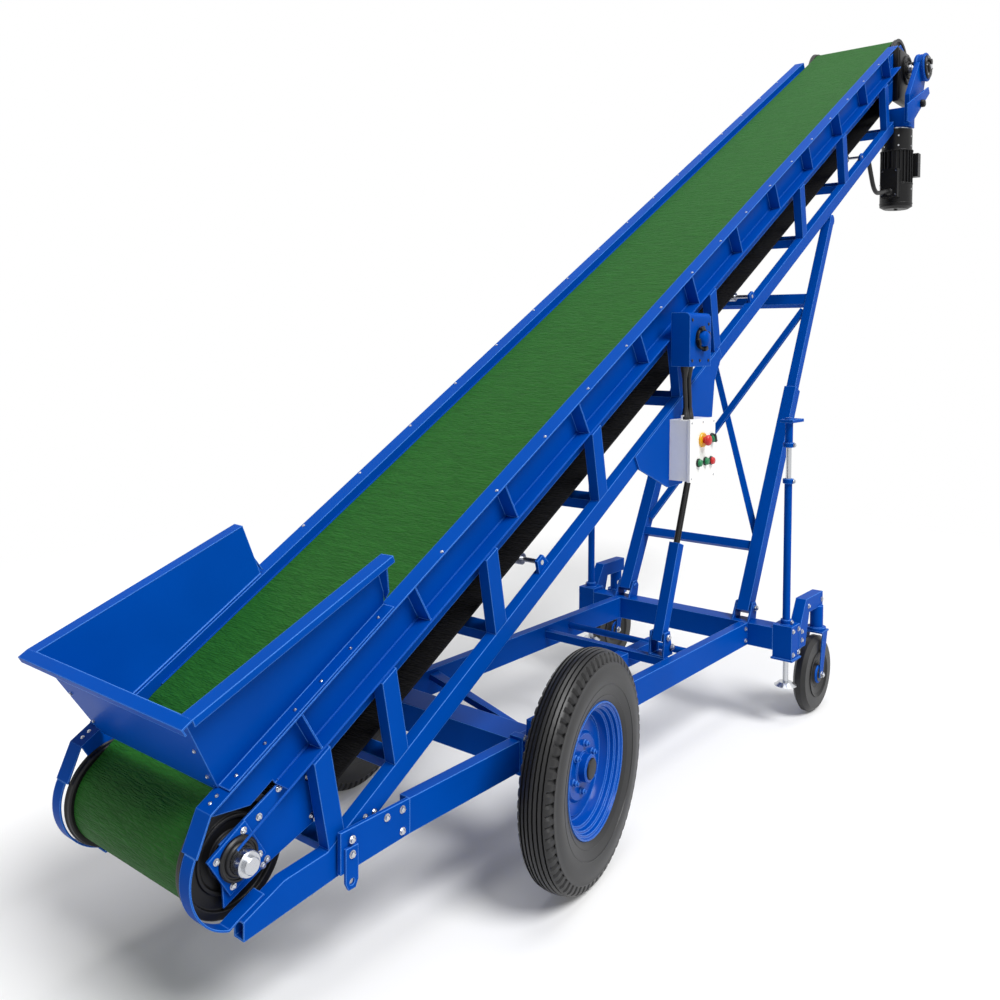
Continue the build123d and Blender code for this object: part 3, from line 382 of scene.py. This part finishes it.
tread = [(0.0, crown(0.0))]
for groove in tyre["grooves"]:
    half = tyre["grooveHalf"]
    deep = tyre["grooveDeep"]
    tread += [(groove - half, crown(groove)), (groove - half * 0.6, crown(groove) - deep),
              (groove + half * 0.6, crown(groove) - deep), (groove + half, crown(groove))]
tread += [(0.0420, crown(0.042)), (0.0465, 0.3620), (0.0510, 0.3560), (0.0535, 0.3480), (0.0555, 0.3390)]
sideWall = [(0.0572, 0.3365), (0.0584, 0.3335), (0.0580, 0.3310), (0.0606, 0.3180), (0.0622, 0.3040),
            (0.0628, 0.2940), (0.0624, 0.2830), (0.0606, 0.2700), (0.0614, 0.2685), (0.0610, 0.2660),
            (0.0594, 0.2650), (0.0560, 0.2500), (0.0515, 0.2350), (0.0525, 0.2335), (0.0515, 0.2310),
            (0.0480, 0.2230), (0.0445, 0.2160), (0.0390, 0.2090), (0.0350, 0.2042)]
notchLow, notchHigh = tyre["notchBand"]
half = tread + sideWall
outline = half + [(-across, radius) for across, radius in reversed(half[1:])]
for side, word in sides:
    matrix = stand(*wheelPlace(side))
    back = matrix.inverted()
    bm = bmesh.new()
    lathe(bm, matrix, outline, tyre["segments"])
    # the seam is closed before the grooves' waves and the notches move the vertices
    bmesh.ops.remove_doubles(bm, verts=bm.verts, dist=0.000005)
    for vert in bm.verts:
        spot = back @ vert.co
        radius = Vector((spot.x, spot.y)).length
        angle = atan2(spot.y, spot.x) / (2 * pi)
        if radius > tyre["waveFrom"] and abs(spot.z) < tyre["waveWithin"]:
            wave = abs(((angle * tyre["waves"]) % 1.0) - 0.5) * 4 - 1
            spot.z += wave * tyre["waveMm"] / 1000
        onShoulder = radius > tyre["notchFrom"] and notchLow < abs(spot.z) < notchHigh
        if onShoulder and int(round(angle * tyre["segments"])) % tyre["notchEvery"] == 0:
            spot.x *= 1 - tyre["notchDeep"] / radius
            spot.y *= 1 - tyre["notchDeep"] / radius
            spot.z -= tyre["notchIn"] if spot.z > 0 else -tyre["notchIn"]
        vert.co = matrix @ spot
    piece = finishPiece(f"roadTyre{word.title()}", bm, tyreRubber, f"wheel_{word}", smooth=30)
    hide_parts(f"tyre_{word}")
print("road tyres")

# Road rims: rolled lips, a stepped well, a flat dish with a raised hub plate, six nuts and a black cap
rim = {"lip": 0.2130, "seat": 0.2030, "tube": 0.044, "tubeEnd": 0.0245, "nutRing": 0.074, "nuts": 6,
       "cap": 0.034, "valveAngle": 2.4, "valveAt": (0.180, 0, 0.004)}
front = [(0.034, rim["seat"]), (0.038, 0.2115), (0.043, rim["lip"]), (0.0465, 0.2105), (0.0455, 0.2065),
         (0.0390, 0.2025), (0.0375, 0.1955), (0.0260, 0.1930), (0.0235, 0.1860), (0.0100, 0.1830),
         (0.0070, 0.1755), (-0.0100, 0.1715), (-0.0200, 0.1650), (-0.0215, 0.1560), (-0.0150, 0.1500),
         (-0.0150, 0.1120), (-0.0090, 0.1060), (-0.0060, 0.1020), (-0.0060, 0.0490), (-0.0020, 0.0445),
         (0.0220, rim["tube"]), (rim["tubeEnd"], 0.0400), (rim["tubeEnd"], 0.0302)]
rear = [(-0.084, 0.0302), (-0.084, 0.052), (-0.032, 0.054), (-0.022, 0.100), (-0.0220, 0.1500),
        (-0.0290, 0.1600), (-0.0270, 0.1740), (-0.0340, 0.1900), (-0.0390, 0.2025), (-0.0455, 0.2065),
        (-0.0465, 0.2105), (-0.043, rim["lip"]), (-0.038, 0.2115), (-0.034, rim["seat"])]
for side, word in sides:
    matrix = stand(*wheelPlace(side))
    piece = turnedPiece(f"roadRim{word.title()}", matrix, rimPaint, f"wheel_{word}",
                        smooth=28, segments=144, outline=front + rear)
    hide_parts(f"rim_{word}")
    bm = bmesh.new()
    for count in range(rim["nuts"]):
        angle = 2 * pi * count / rim["nuts"] + 0.35
        nut = matrix @ Matrix.Translation((rim["nutRing"] * cos(angle), rim["nutRing"] * sin(angle),
                                           -0.006))
        drum(bm, nut, 0.0120, 0.0115, 0, 0.003, 24)
        drum(bm, nut @ Matrix.Rotation(angle, 4, "Z"), 0.0098, 0.0098, 0.003, 0.010, 6)
        drum(bm, nut, 0.0056, 0.0046, 0.013, 0.007, 16)
    nutFinish = bluePaint if side < 0 else zincPlate
    finishPiece(f"wheelNuts{word.title()}", bm, nutFinish, f"wheel_{word}", bevelMm=0.5)
    turnedPiece(f"greaseCap{word.title()}", matrix, blackPaint, f"wheel_{word}",
                segments=48, outline=[
        (rim["tubeEnd"], 0.0), (rim["tubeEnd"], rim["cap"]), (0.0265, 0.0335), (0.0290, 0.0310),
        (0.0300, 0.0240), (0.0304, 0.0)])
    valve = matrix @ Matrix.Rotation(rim["valveAngle"], 4, "Z") @ Matrix.Translation(rim["valveAt"])
    bm = bmesh.new()
    drum(bm, valve, 0.0045, 0.0035, 0, 0.028, 16)
    finishPiece(f"valve{word.title()}", bm, sheathRubber, f"wheel_{word}")
print("road rims")

# Stub axles: a turned pin behind each cap and the block that carries it
axle = {"pin": 0.0298, "inward": 0.1575, "outward": 0.0200, "blockHalf": 0.044, "blockIn": 0.3640,
        "blockOut": 0.4075, "blockMiddle": 0.319, "blockTall": 0.188}
bm = bmesh.new()
for side, _ in sides:
    middle, outward = wheelPlace(side)
    inner = middle - outward * axle["inward"]
    drum(bm, stand(inner, outward), axle["pin"], axle["pin"], 0, axle["inward"] + axle["outward"], 48)
    block = Matrix.Translation((inner.x, side * (axle["blockIn"] + axle["blockOut"]) / 2,
                                axle["blockMiddle"]))
    plate(bm, block, (2 * axle["blockHalf"], axle["blockOut"] - axle["blockIn"], axle["blockTall"]))
stubPiece = finishPiece("stubAxles", bm, bluePaint, "chassis", bevelMm=2.0)
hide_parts("spindles")

# Bolts: zinc hex heads with washers, copied from one drawn bolt to tables of places
bolt = {"washerMm": 11.0, "washerTall": 0.0018, "headMm": 8.6, "tallMm": 7.0}


def addBolts(name, body, rows, scale=1.0):
    bm = bmesh.new()
    for count, (place, axis) in enumerate(rows):
        matrix = stand(place, axis, 0.7 * count) @ Matrix.Scale(scale, 4)
        drum(bm, matrix, bolt["washerMm"] / 1000, bolt["washerMm"] / 1000, 0, bolt["washerTall"], 20)
        drum(bm, matrix, bolt["headMm"] / 1000, bolt["headMm"] * 0.97 / 1000, bolt["washerTall"],
             bolt["tallMm"] * 0.7 / 1000, 6)
        drum(bm, matrix, bolt["headMm"] * 0.8 / 1000, bolt["headMm"] * 0.45 / 1000,
             bolt["washerTall"] + bolt["tallMm"] * 0.7 / 1000, bolt["tallMm"] * 0.3 / 1000, 16)
    return finishPiece(name, bm, zincPlate, body)


tailBolts = ((-0.752, 1.032), (-0.696, 0.893), (-0.680, 0.896), (-0.561, 1.022), (-0.482, 0.970),
             (-0.482, 1.020), (-0.526, 0.870), (-0.640, 1.010))
flangeBolts = ((-0.783, 1.030), (-0.692, 1.030), (-0.783, 0.938), (-0.692, 0.938))
kinkBolts = ((-0.500, 0.768), (-0.469, 0.752), (-0.428, 0.768), (-0.398, 0.752))
ribRows = [-0.430 + 0.482 * count for count in range(12)]
rows = []
for side in (-1, 1):
    out = Vector((0, side, 0))
    rows += [(boomPoint(s, side * 0.2813, t), out) for s, t in tailBolts]
    rows += [(boomPoint(s, side * 0.2933, t), out) for s, t in flangeBolts]
    rows += [(boomPoint(s, side * 0.3410, t), out) for s, t in kinkBolts]
    for s in ribRows:
        rows += [(boomPoint(s + 0.040, side * 0.2750, 1.000), out),
                 (boomPoint(s + 0.030, side * 0.2750, 1.140), out)]
addBolts("boomBolts", "boom", rows, 0.85)
rows = []
for side in (-1, 1):
    rows += [(boomPoint(s, side * 0.3080, 1.1767), boomUp)
             for s in (-0.640, -0.540, -0.430, -0.330, -0.210, -0.090)]
    rows += [(boomPoint(s, side * 0.3000, 1.1715), boomUp) for s in (-0.722, -0.700)]
    rows += [(boomPoint(0.20 + 0.30 * count, side * 0.3180, 1.1715), boomUp) for count in range(16)]
addBolts("flangeBolts", "boom", rows, 0.5)
# the hopper's front sheet and the heights of its corner bolts
hopperFront = {"along": -0.6832, "low": 1.1727, "halfLow": 0.279, "flare": 0.242, "inset": 0.020,
               "ups": (1.20644, 1.306, 1.40556)}
rows = []
for side in (-1, 1):
    for up in hopperFront["ups"]:
        flared = (up - hopperFront["low"]) * hopperFront["flare"]
        across = hopperFront["halfLow"] + flared - hopperFront["inset"]
        rows.append((boomPoint(hopperFront["along"], side * across, up), -boomAlong))
addBolts("hopperBolts", "boom", rows, 0.55)

# Weld beads: thin painted fillets along the roots of the rail flanges
# The beads are there to catch the blue paint's painted edge highlight as a bright line at each root
beads = {"radius": 0.0035, "runs": ((0.2765, 1.0385, -0.55, 5.05), (0.3300, 1.0350, -0.74, 5.05))}
bm = bmesh.new()
for side in (-1, 1):
    for across, up, start, end in beads["runs"]:
        root = stand(boomPoint(start, side * across, up), boomAlong)
        drum(bm, root, beads["radius"], beads["radius"], 0, end - start, 10)
finishPiece("railBeads", bm, bluePaint, "boom", smooth=50)
print("boom bolts and beads")

# Tail bearings: a square housing, a flat ringed seal and a stepped bright shaft end on each side
seal = {"outer": 0.056, "inner": 0.034, "across": 0.2820, "housing": (0.126, 0.126, 0.011)}
tailAlong, tailUp = drums["tail"][:2]
for side, word in ((-1, "Near"), (1, "Far")):
    matrix = stand(boomPoint(tailAlong, side * seal["across"], tailUp), (0, side, 0))
    tilted = matrix @ Matrix.Rotation(-side * incline, 4, "Z")
    bm = bmesh.new()
    plate(bm, tilted, seal["housing"])
    housing = finishPiece(f"tailHousing{word}", bm, bluePaint, "boom", bevelMm=3.0)
    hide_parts("tail_bearings")
    sealRing = turnedPiece(f"tailSeal{word}", matrix, sheathRubber, "boom",
                           segments=72, outline=[
        (0.011, seal["inner"]), (0.011, seal["outer"]), (0.018, seal["outer"]), (0.022, 0.0520),
        (0.022, 0.0480), (0.019, 0.0465), (0.019, 0.0430), (0.024, 0.0415), (0.026, 0.0390),
        (0.026, seal["inner"])])
    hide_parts("tail_bearings")
    turnedPiece(f"tailShaftEnd{word}", matrix, zincPlate, "boom", segments=56, outline=[
        (0.020, 0.0), (0.020, 0.0325), (0.057, 0.0325), (0.060, 0.0300), (0.060, 0.0215),
        (0.0690, 0.0215), (0.0712, 0.0195), (0.0712, 0.0)])
print("tail bearings")

# Drum ends: black discs beside the belt, with a rolled rim and two raised rings
drumFace = 0.2515
for word, (along, up, radius) in drums.items():
    for side, hand in ((-1, "Near"), (1, "Far")):
        matrix = stand(boomPoint(along, side * drumFace, up), (0, side, 0))
        turnedPiece(f"{word}DrumEnd{hand}", matrix, blackPaint, "boom",
                    segments=96, outline=[
            (0.0, 0.040), (0.0, radius - 0.004), (0.003, radius), (0.016, radius),
            (0.0195, radius + 0.0035), (0.0222, radius + 0.0035), (0.0222, radius - 0.004),
            (0.0222, radius - 0.016), (0.011, radius - 0.019), (0.007, 0.098), (0.013, 0.095),
            (0.013, 0.088), (0.007, 0.084), (0.007, 0.060), (0.015, 0.056), (0.015, 0.040)])
print("drum ends")

# Head drive: an upright black flange with a round seat, a grey shaft collar, a blue ringed hub and its cap
drive = {"flangeWide": 0.225, "flangeTall": 0.335, "flangeDrop": 0.085, "capBolts": 6, "capBoltRing": 0.059,
         "caseFaces": (-0.418, -0.386), "torqueFaces": (-0.4605, -0.4525)}
shaftNear = stand(Vector((gearX, -0.277, gearZ - 0.030)), (0, -1, 0))
flange = stand(Vector((gearX - 0.045, -0.277, gearZ - drive["flangeDrop"])), (0, -1, 0))
bm = bmesh.new()
plate(bm, flange, (drive["flangeWide"], drive["flangeTall"], 0.034))
plate(bm, flange @ Matrix.Translation((0, 0, 0.034)),
      (drive["flangeWide"] * 0.9, drive["flangeTall"] * 0.92, 0.006))
flangePiece = finishPiece("driveFlange", bm, blackPaint, "boom", bevelMm=5.0)
boss = turnedPiece("driveSeat", shaftNear, blackPaint, "boom", segments=72, outline=[
    (0.038, 0.0), (0.038, 0.092), (0.050, 0.092), (0.052, 0.088), (0.052, 0.078), (0.043, 0.074),
    (0.043, 0.056), (0.056, 0.052), (0.058, 0.0)])
bm = bmesh.new()
farSeat = stand(Vector((gearX, 0.277, gearZ)), (0, 1, 0))
lathe(bm, farSeat, [(0.0, 0.018), (0.0, 0.074), (0.012, 0.074), (0.014, 0.070), (0.014, 0.050),
                    (0.040, 0.046), (0.044, 0.040), (0.044, 0.018)], 64)
farBearing = finishPiece("headBearingFar", bm, blackPaint, "boom")
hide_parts("head_bearings")
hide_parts("head_bearings")
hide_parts("head_bearings")
turnedPiece("driveCollar", shaftNear, zincPlate, "boom", segments=48, outline=[
    (0.058, 0.018), (0.058, 0.036), (0.074, 0.036), (0.076, 0.034), (0.076, 0.028), (0.098, 0.026),
    (0.098, 0.018)])
hubRing = turnedPiece("gearHub", shaftNear, bluePaint, "boom", segments=72, outline=[
    (0.100, 0.020), (0.100, 0.078), (0.106, 0.086), (0.118, 0.088), (0.122, 0.084), (0.150, 0.084),
    (0.154, 0.089), (0.162, 0.089), (0.166, 0.085), (0.166, 0.072), (0.160, 0.070), (0.160, 0.020)])
turnedPiece("gearCap", shaftNear, blackPaint, "boom", segments=56, outline=[
    (0.158, 0.0), (0.158, 0.071), (0.172, 0.071), (0.177, 0.067), (0.178, 0.050), (0.173, 0.047),
    (0.173, 0.034), (0.184, 0.030), (0.186, 0.026), (0.186, 0.0)])
bm = bmesh.new()
for count in range(drive["capBolts"]):
    angle = 2 * pi * count / drive["capBolts"]
    reach = drive["capBoltRing"]
    place = shaftNear @ Matrix.Translation((reach * cos(angle), reach * sin(angle), 0.177))
    drum(bm, place, 0.0050, 0.0050, 0, 0.005, 6)
drum(bm, shaftNear, 0.016, 0.016, 0.184, 0.006, 32)
finishPiece("gearCapScrews", bm, zincPlate, "boom")

# Gear case and torque plate: a cast case from the hub to the motor's neck, and a plate bolted to its face
bm = bmesh.new()
prism(bm, [(gearX - 0.275, gearZ - 0.425), (gearX - 0.170, gearZ - 0.425), (gearX - 0.165, gearZ - 0.345),
           (gearX + 0.010, gearZ - 0.200), (gearX + 0.066, gearZ - 0.060), (gearX + 0.062, gearZ + 0.010),
           (gearX, gearZ + 0.040), (gearX - 0.065, gearZ + 0.010), (gearX - 0.275, gearZ - 0.250)],
      *drive["caseFaces"])
plate(bm, Matrix.Translation((motor["x"], -0.355, motor["top"] + 0.012)), (0.104, 0.130, 0.120))
casePiece = finishPiece("gearCase", bm, bluePaint, "boom", smooth=30, bevelMm=6.0)
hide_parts("gearbox")
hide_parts("gearbox")
bm = bmesh.new()
prism(bm, [(gearX - 0.455, gearZ - 0.350), (gearX - 0.030, gearZ - 0.165), (gearX - 0.005, gearZ - 0.200),
           (gearX - 0.365, gearZ - 0.452), (gearX - 0.455, gearZ - 0.452)],
      *drive["torqueFaces"])
torquePiece = finishPiece("torquePlate", bm, bluePaint, "boom", smooth=30, bevelMm=1.0)
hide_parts("torque_plate")
knobAt = stand(Vector((gearX - 0.190, drive["torqueFaces"][0], gearZ - 0.300)), (0, -1, 0))
turnedPiece("torqueKnob", knobAt, blackPaint, "boom", segments=40, outline=[
    (0.0, 0.0), (0.0, 0.022), (0.010, 0.024), (0.022, 0.022), (0.026, 0.016), (0.027, 0.0)])
print("head drive")

# Control box: mushroom stop on a yellow collar, a selector and three push buttons in black bezels
controls = {"face": -0.442, "stop": (0.985, 1.345), "selector": (1.067, 1.348),
            "pushes": ((0.953, 1.255, "greenPlastic"), (1.012, 1.257, "greenPlastic"),
                       (1.062, 1.255, "redPlastic"))}


def onLid(along, up, out=0.0):
    return stand(Vector((along - originX, controls["face"] - out, up)), (0, -1, 0))


collar = turnedPiece("stopCollar", onLid(*controls["stop"]), yellowPlastic, "boom",
                     segments=48, outline=[
    (0.0, 0.0), (0.0, 0.029), (0.006, 0.030), (0.010, 0.027), (0.010, 0.0)])
turnedPiece("stopHead", onLid(*controls["stop"]), redPlastic, "boom", smooth=50,
            segments=48, outline=[
    (0.010, 0.0), (0.010, 0.013), (0.018, 0.013), (0.021, 0.020), (0.024, 0.0215), (0.031, 0.0215),
    (0.036, 0.0185), (0.039, 0.011), (0.040, 0.0)])
bm = bmesh.new()
matrix = onLid(*controls["selector"])
lathe(bm, matrix, [(0.0, 0.0), (0.0, 0.0195), (0.006, 0.0195), (0.008, 0.018), (0.008, 0.0)], 40)
plate(bm, matrix @ Matrix.Rotation(radians(25), 4, "Z") @ Matrix.Translation((0, 0, 0.008)),
      (0.012, 0.034, 0.014))
finishPiece("selectorBase", bm, blackPaint, "boom", bevelMm=0.8)
turnedPiece("selectorHead", matrix, greenPlastic, "boom", smooth=50, segments=40, outline=[
    (0.008, 0.0), (0.008, 0.0165), (0.016, 0.0160), (0.019, 0.013), (0.0195, 0.0)])
bm = bmesh.new()
for along, up, _ in controls["pushes"]:
    lathe(bm, onLid(along, up), [(0.0, 0.0), (0.0, 0.0175), (0.005, 0.0175), (0.007, 0.0160), (0.007, 0.0)],
          36)
bezels = finishPiece("pushBezels", bm, blackPaint, "boom")
pushColours = {"greenPlastic": greenPlastic, "redPlastic": redPlastic}
for number, (along, up, tone) in enumerate(controls["pushes"]):
    turnedPiece(f"pushHead{number + 1}", onLid(along, up), pushColours[tone], "boom",
                smooth=50, segments=36, outline=[
        (0.007, 0.0), (0.007, 0.0148), (0.014, 0.0142), (0.016, 0.012), (0.0168, 0.0)])
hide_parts("control_buttons")
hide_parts("control_buttons")
bm = bmesh.new()
for along, up in ((0.898, 1.417), (1.086, 1.417), (0.992, 1.417), (0.898, 1.196), (1.086, 1.196)):
    drum(bm, onLid(along, up), 0.0045, 0.0040, 0, 0.0022, 20)
finishPiece("lidScrews", bm, zincPlate, "boom")
print("control box")

# Isolator: a black guard ring with grips round a blue hub, a black pointer bar and corner screws
rotary = {"x": 0.995, "z": 1.752, "face": -0.425, "ring": 0.044, "grips": 4}
hubFace = stand(Vector((rotary["x"] - originX, rotary["face"], rotary["z"])), (0, -1, 0))
bm = bmesh.new()
lathe(bm, hubFace, [(0.0, 0.034), (0.0, rotary["ring"]), (0.010, rotary["ring"]), (0.014, 0.043),
                    (0.014, 0.036), (0.010, 0.034)], 56)
for count in range(rotary["grips"]):
    turned = hubFace @ Matrix.Rotation(radians(90 * count + 20), 4, "Z")
    plate(bm, turned @ Matrix.Translation((0.043, 0, 0.006)), (0.014, 0.026, 0.016))
rotaryPiece = finishPiece("isolatorRing", bm, blackPaint, "boom", bevelMm=1.5)
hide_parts("isolator_handle")
turnedPiece("isolatorHub", hubFace, bluePaint, "boom", smooth=50, segments=56, outline=[
    (0.0, 0.0), (0.0, 0.033), (0.026, 0.030), (0.034, 0.024), (0.036, 0.0)])
bm = bmesh.new()
for along, up in ((0.925, 1.826), (1.063, 1.812), (0.925, 1.664), (1.063, 1.664), (0.990, 1.664),
                  (1.063, 1.740)):
    drum(bm, stand(Vector((along - originX, rotary["face"], up)), (0, -1, 0)), 0.0065, 0.0055, 0, 0.003, 20)
finishPiece("isolatorScrews", bm, blackPaint, "boom")
print("isolator")

# Glands: black ribbed nuts with tapered noses where the cords meet the boxes and the motor
glands = {"boxCord": 0.0092, "motorLead": 0.0133}


def gland(bm, matrix, radius):
    lathe(bm, matrix, [(-0.020, radius * 0.95), (-0.020, radius * 1.75), (-0.008, radius * 1.75),
                       (-0.006, radius * 1.6), (0.0, radius * 1.6), (0.002, radius * 1.45),
                       (0.026, radius * 1.08), (0.026, radius * 0.95)], 36)


bm = bmesh.new()
for row in cordSizes["boxRows"]:
    gland(bm, stand(Vector((row - originX, -0.392, 1.620)), (0, 0, -1)), glands["boxCord"])
    gland(bm, stand(Vector((row + 0.003 - originX, -0.396, 1.448)), (0, 0, 1)), glands["boxCord"])
gland(bm, stand(Vector((boxX - 0.001, -0.330, boxZ)), (-1, 0, 0)), glands["motorLead"])
finishPiece("cordGlands", bm, sheathRubber, "boom")
print("glands")

# Motor dress: a bright neck ring, lid and cover screws, a cowl band and a drain plug
motorAxis = stand(Vector((motor["x"], motor["y"], motor["top"])), (0, 0, 1))
bm = bmesh.new()
lathe(bm, motorAxis, [(-0.002, 0.045), (-0.002, 0.072), (0.009, 0.072), (0.012, 0.068), (0.012, 0.045)], 56)
for count in range(6):
    angle = 2 * pi * count / 6 + 0.4
    for level, reach in ((-0.045, 0.0895), (-0.105, 0.0895), (-0.372, 0.0955)):
        spot = motorAxis @ Matrix.Translation((reach * cos(angle), reach * sin(angle), level))
        facing = (cos(angle), sin(angle), 0)
        drum(bm, stand(spot.translation, facing), 0.0055, 0.0045, -0.001, 0.005, 6)
for up, along in ((0.075, -0.040), (0.075, 0.040), (0.220, -0.040), (0.220, 0.040)):
    spot = Vector((boxX, motor["y"] + along, motor["top"] - motor["long"] + up))
    drum(bm, stand(spot, (-1, 0, 0)), 0.0050, 0.0042, 0, 0.0035, 6)
finishPiece("motorBright", bm, zincPlate, "boom")
bm = bmesh.new()
for level in (-0.1345, -0.3385, -0.4600):
    lathe(bm, motorAxis, [(level, 0.084), (level, 0.0975), (level + 0.003, 0.0985), (level + 0.006, 0.0975),
                          (level + 0.006, 0.084)], 72)
drum(bm, motorAxis, 0.010, 0.012, -0.498, 0.010, 16)
finishPiece("motorBands", bm, blackPaint, "boom")
print("motor dress")

# Small wheels: a dark dished disc, a blue hub with its axle nut and a grease nipple on each side
small = {"x": 1.900, "y": 0.560, "z": 0.178}
for side, word in sides:
    for hand in (-1, 1):
        face = stand(Vector((small["x"] - originX, side * small["y"], small["z"])), (0, hand, 0))
        name = f"{word.title()}{'Out' if hand == side else 'In'}"
        turnedPiece(f"smallDisc{name}", face, blackPaint, f"caster_{word}",
                    segments=72, outline=[
            (0.012, 0.040), (0.0305, 0.104), (0.0325, 0.108), (0.0345, 0.106), (0.0335, 0.100),
            (0.0200, 0.078), (0.0200, 0.052), (0.0300, 0.040)])
        turnedPiece(f"smallHub{name}", face, bluePaint, f"caster_{word}",
                    segments=56, outline=[
            (0.020, 0.012), (0.020, 0.044), (0.032, 0.042), (0.0362, 0.036), (0.0366, 0.012)])
        bm = bmesh.new()
        drum(bm, face, 0.0150, 0.0150, 0.0440, 0.002, 24)
        drum(bm, face, 0.0125, 0.0125, 0.0460, 0.009, 6)
        drum(bm, face, 0.0070, 0.0060, 0.0550, 0.004, 20)
        finishPiece(f"smallNut{name}", bm, zincPlate, f"swivel_{word}")
print("small wheels")

# Chassis bolts: brackets, clamps, housings and leg ears
rows = []
for side in (-1, 1):
    out = Vector((0, side, 0))
    for along, across, up in ((-0.090, 0.3755, 0.330), (-0.090, 0.3755, 0.452), (-0.640, 0.3635, 0.424),
                              (-0.640, 0.3635, 0.362), (-0.700, 0.3635, 0.424), (-0.835, 0.3718, 0.380),
                              (-0.835, 0.3718, 0.420), (1.590, 0.3635, 0.420), (1.590, 0.3635, 0.366)):
        rows.append((Vector((along - originX, side * across, up)), out))
    for along, up in ((1.625, 0.440), (1.685, 0.440), (1.625, 0.334), (1.685, 0.334)):
        rows.append((Vector((along - originX, side * 0.575, up)), out))
    for along, up in ((1.720, 0.380), (1.720, 0.420), (1.800, 0.520), (1.960, 0.520)):
        rows.append((Vector((along - originX, side * 0.577, up)), out))
    for level in (1.113, 0.472, 1.277):
        rows.append((Vector((1.655 - originX, side * 0.555, level)), out))
addBolts("chassisBolts", "chassis", rows)
rows = [(Vector((x - originX, -0.291, z)), Vector((0, -1, 0))) for x, z in ((1.000, 0.505), (1.030, 0.460))]
rows += [(Vector((1.680 - originX, side * 0.373, 0.500)), Vector((0, side, 0))) for side in (-1, 1)]
addBolts("pivotBolts", "chassis", rows, 1.25)
print("chassis bolts")

# Skirt clips: small bright pressed tags on the rail skirts
bm = bmesh.new()
for side in (-1, 1):
    for along in (0.390, 1.249, 3.720, 4.420):
        tag = stand(boomPoint(along, side * 0.2750, 1.006), (0, side, 0), radians(90) - side * incline)
        plate(bm, tag, (0.012, 0.046, 0.002))
        plate(bm, tag @ Matrix.Translation((0.010, 0.019, 0.0)), (0.022, 0.010, 0.002))
finishPiece("skirtTags", bm, zincPlate, "boom", bevelMm=0.6)
print("skirt tags")

# Studio: a pale floor that runs to white, a soft sun from the near side, a wide lamp above, even ambience
studio = {"floor": "#e6e6e6", "floorLift": 0.10, "fadeFrom": 3.2, "fadeTo": 5.6, "ambient": 0.24,
          "keyStrength": 3.1, "keyAngle": 28, "keyAim": (0.08, 0.72, -1.0),
          "topWatts": 500, "topSize": (8.0, 6.0), "topHeight": 12.0}


def seenDirect(tree):
    # one for camera, mirror-like and transmitted rays, nought for the light that reaches surfaces
    path = node(tree, "ShaderNodeLightPath")
    seen = node(tree, "ShaderNodeMath", {"operation": "MAXIMUM"}, i0=path.outputs["Is Camera Ray"],
                i1=path.outputs["Is Glossy Ray"])
    return node(tree, "ShaderNodeMath", {"operation": "MAXIMUM"}, i0=seen.outputs[0],
                i1=path.outputs["Is Transmission Ray"]).outputs[0]


bpy.ops.mesh.primitive_plane_add(size=60)
floor = bpy.context.object
floor.name = "studioFloor"
floorPaint, tree, shader, place = surface("floorPaint")
feed(tree, shader, Base_Color=linear(studio["floor"]), Roughness=0.9, Specular_IOR_Level=0.0)
lift = node(tree, "ShaderNodeEmission", None, Color=(1, 1, 1, 1), Strength=studio["floorLift"])
lifted = node(tree, "ShaderNodeAddShader", None, i0=shader.outputs[0], i1=lift.outputs[0])
white = node(tree, "ShaderNodeEmission", None, Color=(1, 1, 1, 1), Strength=1.0)
away = node(tree, "ShaderNodeVectorMath", {"operation": "LENGTH"}, i0=place)
fade = node(tree, "ShaderNodeMapRange", {"interpolation_type": "SMOOTHSTEP"}, Value=away.outputs["Value"],
            From_Min=studio["fadeFrom"], From_Max=studio["fadeTo"])
shown = node(tree, "ShaderNodeMixShader", None, i0=fade.outputs["Result"], i1=lifted.outputs[0],
             i2=white.outputs[0])
floorMix = node(tree, "ShaderNodeMixShader", None, i0=seenDirect(tree), i1=shader.outputs[0],
                i2=shown.outputs[0])
output = [item for item in tree.nodes if item.type == "OUTPUT_MATERIAL"][0]
tree.links.new(floorMix.outputs[0], output.inputs["Surface"])
floor.data.materials.append(floorPaint)

world = bpy.data.worlds.new("studioWorld")
scene.world = world
world.use_nodes = True
tree = world.node_tree
tree.nodes.clear()
ambient = node(tree, "ShaderNodeBackground", None, Color=(1, 1, 1, 1), Strength=studio["ambient"])
backdrop = node(tree, "ShaderNodeBackground", None, Color=(1, 1, 1, 1), Strength=1.0)
mix = node(tree, "ShaderNodeMixShader", None, i0=seenDirect(tree), i1=ambient.outputs[0],
           i2=backdrop.outputs[0])
output = node(tree, "ShaderNodeOutputWorld")
tree.links.new(mix.outputs[0], output.inputs["Surface"])

keyData = bpy.data.lights.new("keyLight", "SUN")
keyData.energy = studio["keyStrength"]
keyData.angle = radians(studio["keyAngle"])
keyLight = bpy.data.objects.new("keyLight", keyData)
keyLight.rotation_euler = Vector(studio["keyAim"]).to_track_quat("-Z", "Y").to_euler()
scene.collection.objects.link(keyLight)
topData = bpy.data.lights.new("topLight", "AREA")
topData.shape = "RECTANGLE"
topData.size, topData.size_y = studio["topSize"]
topData.energy = studio["topWatts"]
topLight = bpy.data.objects.new("topLight", topData)
topLight.location = (0.0, 0.0, studio["topHeight"])
scene.collection.objects.link(topLight)
scene.view_settings.view_transform = "Standard"
print("studio and camera")
